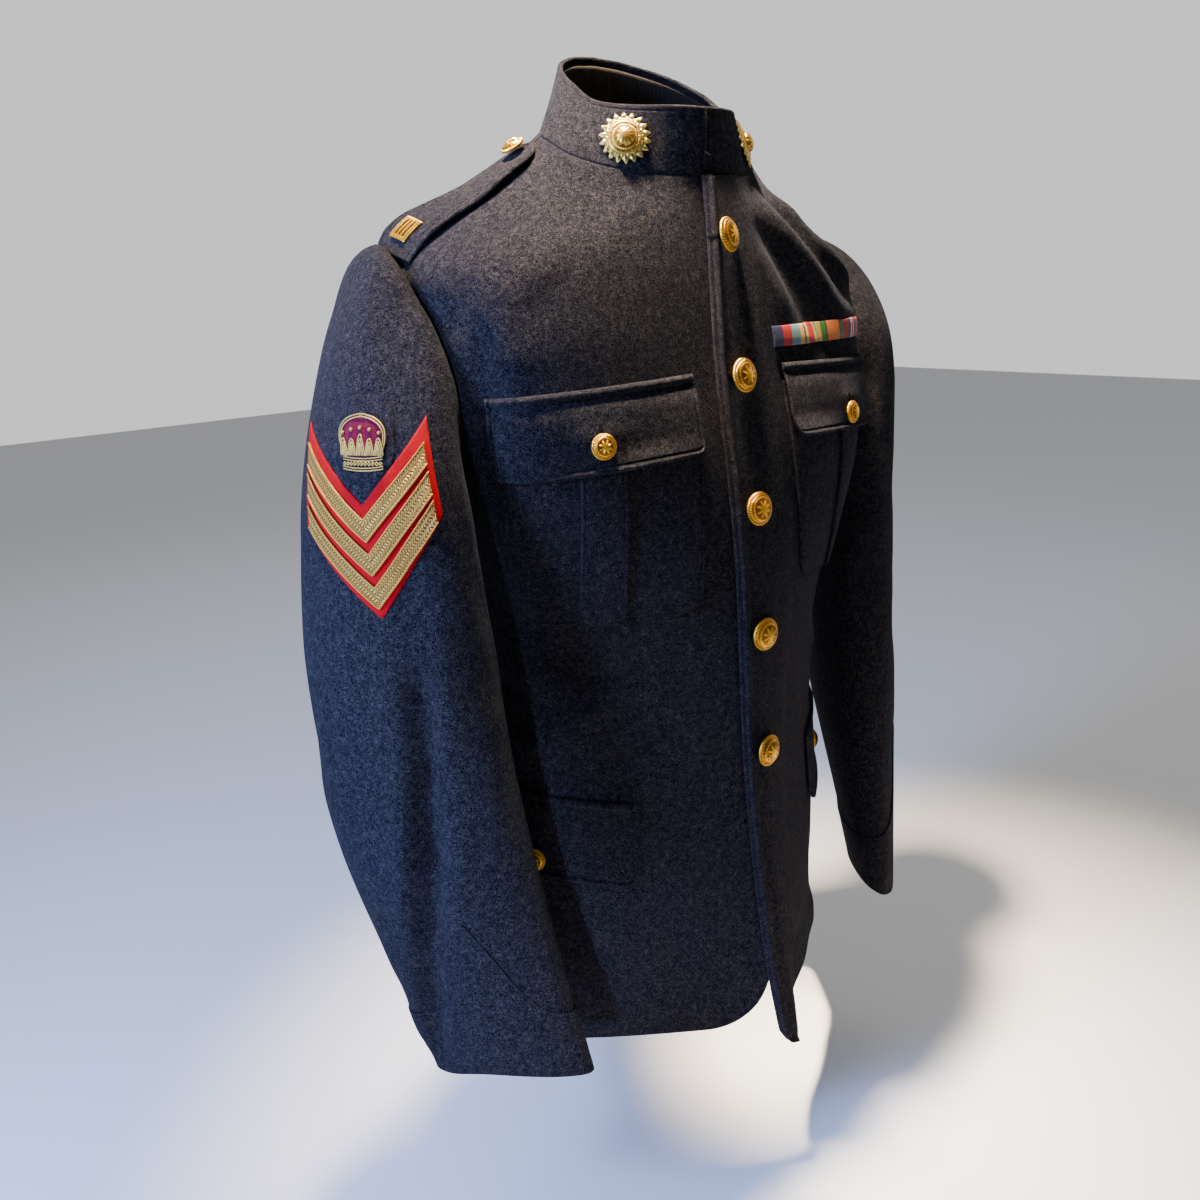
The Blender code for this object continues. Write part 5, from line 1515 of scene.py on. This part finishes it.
# Crown: a padded cap with gold wire laid over it, placed across and up from its foot
crownSettings = {"out": 2.1, "foot": 8.8, "capHeight": 26.0, "capWall": 1.1, "capCrown": 1.5,
                 "wire": 0.46, "bead": 1.35}
capOutline = ((0, 14), (0.25, 17.3), (0.5, 18.8), (0.7, 17.6), (0.86, 13.6), (0.96, 7.5), (1.0, 2.0))
foot, patchTop = crownSettings["foot"], crownSettings["out"]


def crownSpot(x, z, out):
    return arm.on(arm.onCloth((crownPlace[0] + x, crownPlace[1] + z)), patchTop + out)


def capFace(grid, sides):
    inside = smooth(np.minimum.reduce(list(sides.values())) / 8)
    return patchTop + crownSettings["capWall"] + crownSettings["capCrown"] * inside


shares = np.linspace(0, 0.97, 16)
capGrid = [[(crownPlace[0] + wide * x, crownPlace[1] + foot + crownSettings["capHeight"] * share)
            for x in np.linspace(-1, 1, 17)]
           for share, wide in zip(shares, eased(capOutline, shares)[:, 0])]
clothWall("crownCap", arm, arm.onCloth(np.array(capGrid)), patchTop, capFace, crimson, "rank_crown",
          step=1.6, rings=(0, 0.4), slotName="lace")

wires = []
for z in (1.0, 2.6, 7.2, foot):         # the base's rails
    wires.append([crownSpot(x, z - 1.2 * (1 - (x / 16)**2), 1.5) for x in np.linspace(-15.5, 15.5, 24)])
for k in range(-5, 6):                  # the coil between them
    for way in (-1, 1):
        wires.append([crownSpot(k * 2.8 - 1.2, 4.2, 1.4), crownSpot(k * 2.8, 4.2 + way * 1.1, 2.2),
                      crownSpot(k * 2.8 + 1.2, 4.2, 1.4)])
shares = np.linspace(0, 1, 22)
for inset in (0.0, 1.5):                # round the cap
    wide, high = eased(capOutline, shares)[:, 0] - inset, foot + (26.5 - inset) * shares
    ring = list(zip(wide, high)) + list(zip(-wide[::-1], high[::-1]))
    wires.append([crownSpot(x, z, 1.4 + 1.0 * math.sin(math.pi * k / 43)) for k, (x, z) in enumerate(ring)])
for k in range(-2, 3):                  # five leaves
    middle, height = k * 6.6, 11.5 - 1.2 * abs(k) + 1.5 * (k % 2 == 0)
    for wide in (3.1, 1.9, 0.7):
        leaf = [(middle - wide * math.cos(t) + 0.16 * k * math.sin(t) * wide,
                 9.4 + height * math.sin(t)**1.6 * (0.45 + 0.18 * wide))
                for t in np.linspace(0, math.pi, 13)]
        wires.append([crownSpot(x, z, 2.2 + 1.0 * math.sin(math.pi * n / 12))
                      for n, (x, z) in enumerate(leaf)])
tubes("crownWire", wires, crownSettings["wire"], goldCord, "lace", sides=3)
for k in range(-2, 3):
    spot = crownSpot(k * 7.4, 26.5 - 1.1 * abs(k)**1.5, 3.0)
    bm = bmesh.new()
    bmesh.ops.create_uvsphere(bm, u_segments=12, v_segments=8, radius=crownSettings["bead"] * mm,
                              matrix=Matrix.Translation(Vector(spot * mm)))
    trim(meshPiece(f"crownBead{k + 3}", bm, goldCord), "lace")
print("crown made")


# Ribbon bar: each ribbon's stripes as shares of its width
deepBlue, lightBlue, red, buff = ((0.008, 0.010, 0.045), (0.09, 0.19, 0.19), (0.30, 0.002, 0.005),
                                  (0.44, 0.27, 0.05))
green, orange, white = (0.035, 0.14, 0.010), (0.50, 0.12, 0.003), (0.46, 0.40, 0.28)
ribbons = (
    (1.0, ((0.08333, deepBlue), (0.08333, red), (0.08333, lightBlue))),
    (0.25, ((0.16, buff), (0.06, deepBlue), (0.12, buff), (0.32, red), (0.12, buff),
            (0.06, lightBlue), (0.16, buff))),
    (0.25, ((0.16, green), (0.05, deepBlue), (0.58, orange), (0.05, deepBlue), (0.16, green))),
    (0.25, ((0.22, red), (0.16, deepBlue), (0.06, white), (0.12, red), (0.06, white),
            (0.16, deepBlue), (0.22, red))),
)
bands = [(share * width, colour) for width, stripes in ribbons for share, colour in stripes]


def ribbonFace(grid, sides):
    inside = smooth(np.minimum(sides["top"], sides["bottom"]) / 5)
    return ribbonSettings["wall"] + ribbonSettings["crown"] * inside


clothWall("ribbonBar", body, clothGrid(ribbonCorners, (0, 0, 0, 0), 40, 12, 1), 0.0, ribbonFace,
          ribbonMaterial("medalRibbons", bands), "ribbon_bar", (0.13, 0.036, 0.0024),
          under=[fronts[1]["piece"]], gap=0.2, step=2.0, rings=(0, 0.3, 0.8), slotName="ribbon")
print("ribbons made")


# Buttonholes: three near-black tubes side by side, laid on the piece under them; the middle one is painted
# shade standing for the slit, and the two beside it are threads darkened with painted shade
holeSettings = {"front": 11, "flap": 14, "thread": 0.6, "beside": 0.9, "frontShift": -7.5,
                "flapShift": 8}


def buttonhole(piece, x, z, way, length):
    tree = treeOf([piece])
    paths = []
    for offset in (-holeSettings["beside"], 0.0, holeSettings["beside"]):
        row = []
        for t in np.linspace(-0.5, 0.5, 9):
            shift = (length * t, offset) if way == "across" else (offset, length * t)
            place = body.onCloth((x + shift[0], z + shift[1]))
            base, normal = body.on(place), body.outwards(place)
            start = Vector((base + normal * rayStart) * mm)
            hit = tree.ray_cast(start, Vector(-normal), 40 * mm)
            point = np.array(hit[0]) / mm if hit[0] is not None else base
            row.append(point + normal * 0.05)
        paths.append(row)
    return paths


holes = []
for across, height in frontButtonPlaces:
    holes += buttonhole(fronts[1]["piece"], across + holeSettings["frontShift"], height, "across",
                        holeSettings["front"])
for side, name, tag in sideNames:
    for kind, (x, z) in (("chest", chestButtonPlaces[side]), ("lower", lowerButtonPlace)):
        holes += buttonhole(flaps[kind, side]["piece"], side * x, z + holeSettings["flapShift"],
                            "up", holeSettings["flap"])
tubes("buttonholes", holes, holeSettings["thread"], holeThreadAndSlitShade, sides=2)
first, last = collar.at(np.array([-1.985, 1.985]), np.array([0.34, 0.34]), -0.4)
tubes("collarHook", [[first + (0, -0.2, 1.2), (first + last) / 2 + (0, -0.9, 0),
                      last + (0, -0.2, -1.2)]], 0.5, steel, "brass", sides=2)
print("holes made")


# Floor, lights and camera, in metres
floorPaper = Nodes("floorPaper").finish({"Base Color": (0.86, 0.86, 0.86), "Roughness": 0.9})
bm = bmesh.new()
bmesh.ops.create_grid(bm, x_segments=4, y_segments=4, size=6.0, matrix=Matrix.Translation((0, 0, -0.86)))
floor = meshPiece("floor", bm, floorPaper, smoothed=False)

lightSettings = {"key": 10.5, "keySpread": 40, "cool": 42, "sleeve": 85, "fill": 2.6, "rim": 8,
                 "sky": 0.17, "backdrop": 0.95}
sleeveSpots = ((-0.25, 0.0, -0.16), (-0.28, -0.01, -0.34), (-0.26, -0.05, -0.5), (-0.21, -0.1, -0.64))
spotSettings = {"angle": 13, "blend": 0.9, "radius": 0.04, "colour": (0.34, 0.46, 1.0)}


def aimed(thing, place, target):
    thing.location = place
    thing.rotation_euler = (Vector(target) - Vector(place)).to_track_quat("-Z", "Y").to_euler()


def areaLight(name, place, target, size, power, colour):
    data = bpy.data.lights.new(name, "AREA")
    data.shape = "RECTANGLE"
    data.size, data.size_y = size
    data.energy = power
    data.color = colour
    aimed(linked(name, data), place, target)
    return data


key = areaLight("keyLight", (-0.12, 0.01, 0.98), (0.02, -0.08, -0.15), (0.16, 0.12),
                lightSettings["key"], (1.0, 0.80, 0.58))
key.spread = math.radians(lightSettings["keySpread"])
areaLight("windowLight", (-1.15, 0.0, 0.02), (-0.25, 0.0, -0.35), (0.25, 0.7),
          lightSettings["cool"], (0.32, 0.46, 1.0))
for index, target in enumerate(sleeveSpots):
    spot = bpy.data.lights.new(f"sleeveLight{index}", "SPOT")
    spot.energy = lightSettings["sleeve"]
    spot.color = spotSettings["colour"]
    spot.spot_size = math.radians(spotSettings["angle"])
    spot.spot_blend = spotSettings["blend"]
    spot.shadow_soft_size = spotSettings["radius"]
    aimed(linked(spot.name, spot), (-1.05, -0.75, target[2] + 0.1), target)
areaLight("fillLight", (1.8, -0.6, 0.2), (0.1, 0.0, -0.3), (1.4, 1.4), lightSettings["fill"],
          (1.0, 0.86, 0.7))
areaLight("rimLight", (0.3, 1.9, 1.2), (0.0, 0.0, -0.2), (1.4, 0.8), lightSettings["rim"],
          (1.0, 1.0, 1.0))

# The world is dim all round and bright behind the tunic
world = bpy.data.worlds.new("studio")
world.use_nodes = True
tree = world.node_tree
background = tree.nodes["Background"]
background.inputs["Color"].default_value = (0.93, 0.94, 0.96, 1.0)
way = tree.nodes.new("ShaderNodeVectorMath")
way.operation = "DOT_PRODUCT"
way.inputs[1].default_value = (0.62, 0.78, 0.0)
tree.links.new(tree.nodes.new("ShaderNodeTexCoord").outputs["Generated"], way.inputs[0])
shade = tree.nodes.new("ShaderNodeMapRange")
shade.interpolation_type = "SMOOTHSTEP"
tree.links.new(way.outputs["Value"], shade.inputs["Value"])
for socket, value in (("From Min", 0.1), ("From Max", 0.75), ("To Min", lightSettings["sky"]),
                      ("To Max", lightSettings["backdrop"])):
    shade.inputs[socket].default_value = value
tree.links.new(shade.outputs["Result"], background.inputs["Strength"])
bpy.context.scene.world = world

cameraSettings = {"azimuth": -39.5, "elevation": 14.2, "roll": -2.6, "distance": 0.970,
                  "target": (0, 0, -0.35), "frame": 1200, "focal": 1118, "middle": (646, 554)}
azimuth, elevation, roll = [math.radians(cameraSettings[key]) for key in ("azimuth", "elevation", "roll")]
back = Vector((math.sin(azimuth) * math.cos(elevation), -math.cos(azimuth) * math.cos(elevation),
               math.sin(elevation)))
right = (-back).cross(Vector((0, 0, 1))).normalized()
up = right.cross(-back)
across = right * math.cos(roll) + up * math.sin(roll)
upwards = -right * math.sin(roll) + up * math.cos(roll)
camera = bpy.data.cameras.new("camera")
frameSize, (middleX, middleY) = cameraSettings["frame"], cameraSettings["middle"]
camera.sensor_width = 36.0
camera.lens = 36.0 * cameraSettings["focal"] / frameSize
camera.shift_x = (frameSize / 2 - middleX) / frameSize
camera.shift_y = (middleY - frameSize / 2) / frameSize
camera.clip_start = 0.02
viewer = linked("camera", camera)
turn = Matrix((across, upwards, back)).transposed().to_4x4()
viewpoint = Vector(cameraSettings["target"]) + back * cameraSettings["distance"]
viewer.matrix_world = Matrix.Translation(viewpoint) @ turn
bpy.context.scene.camera = viewer
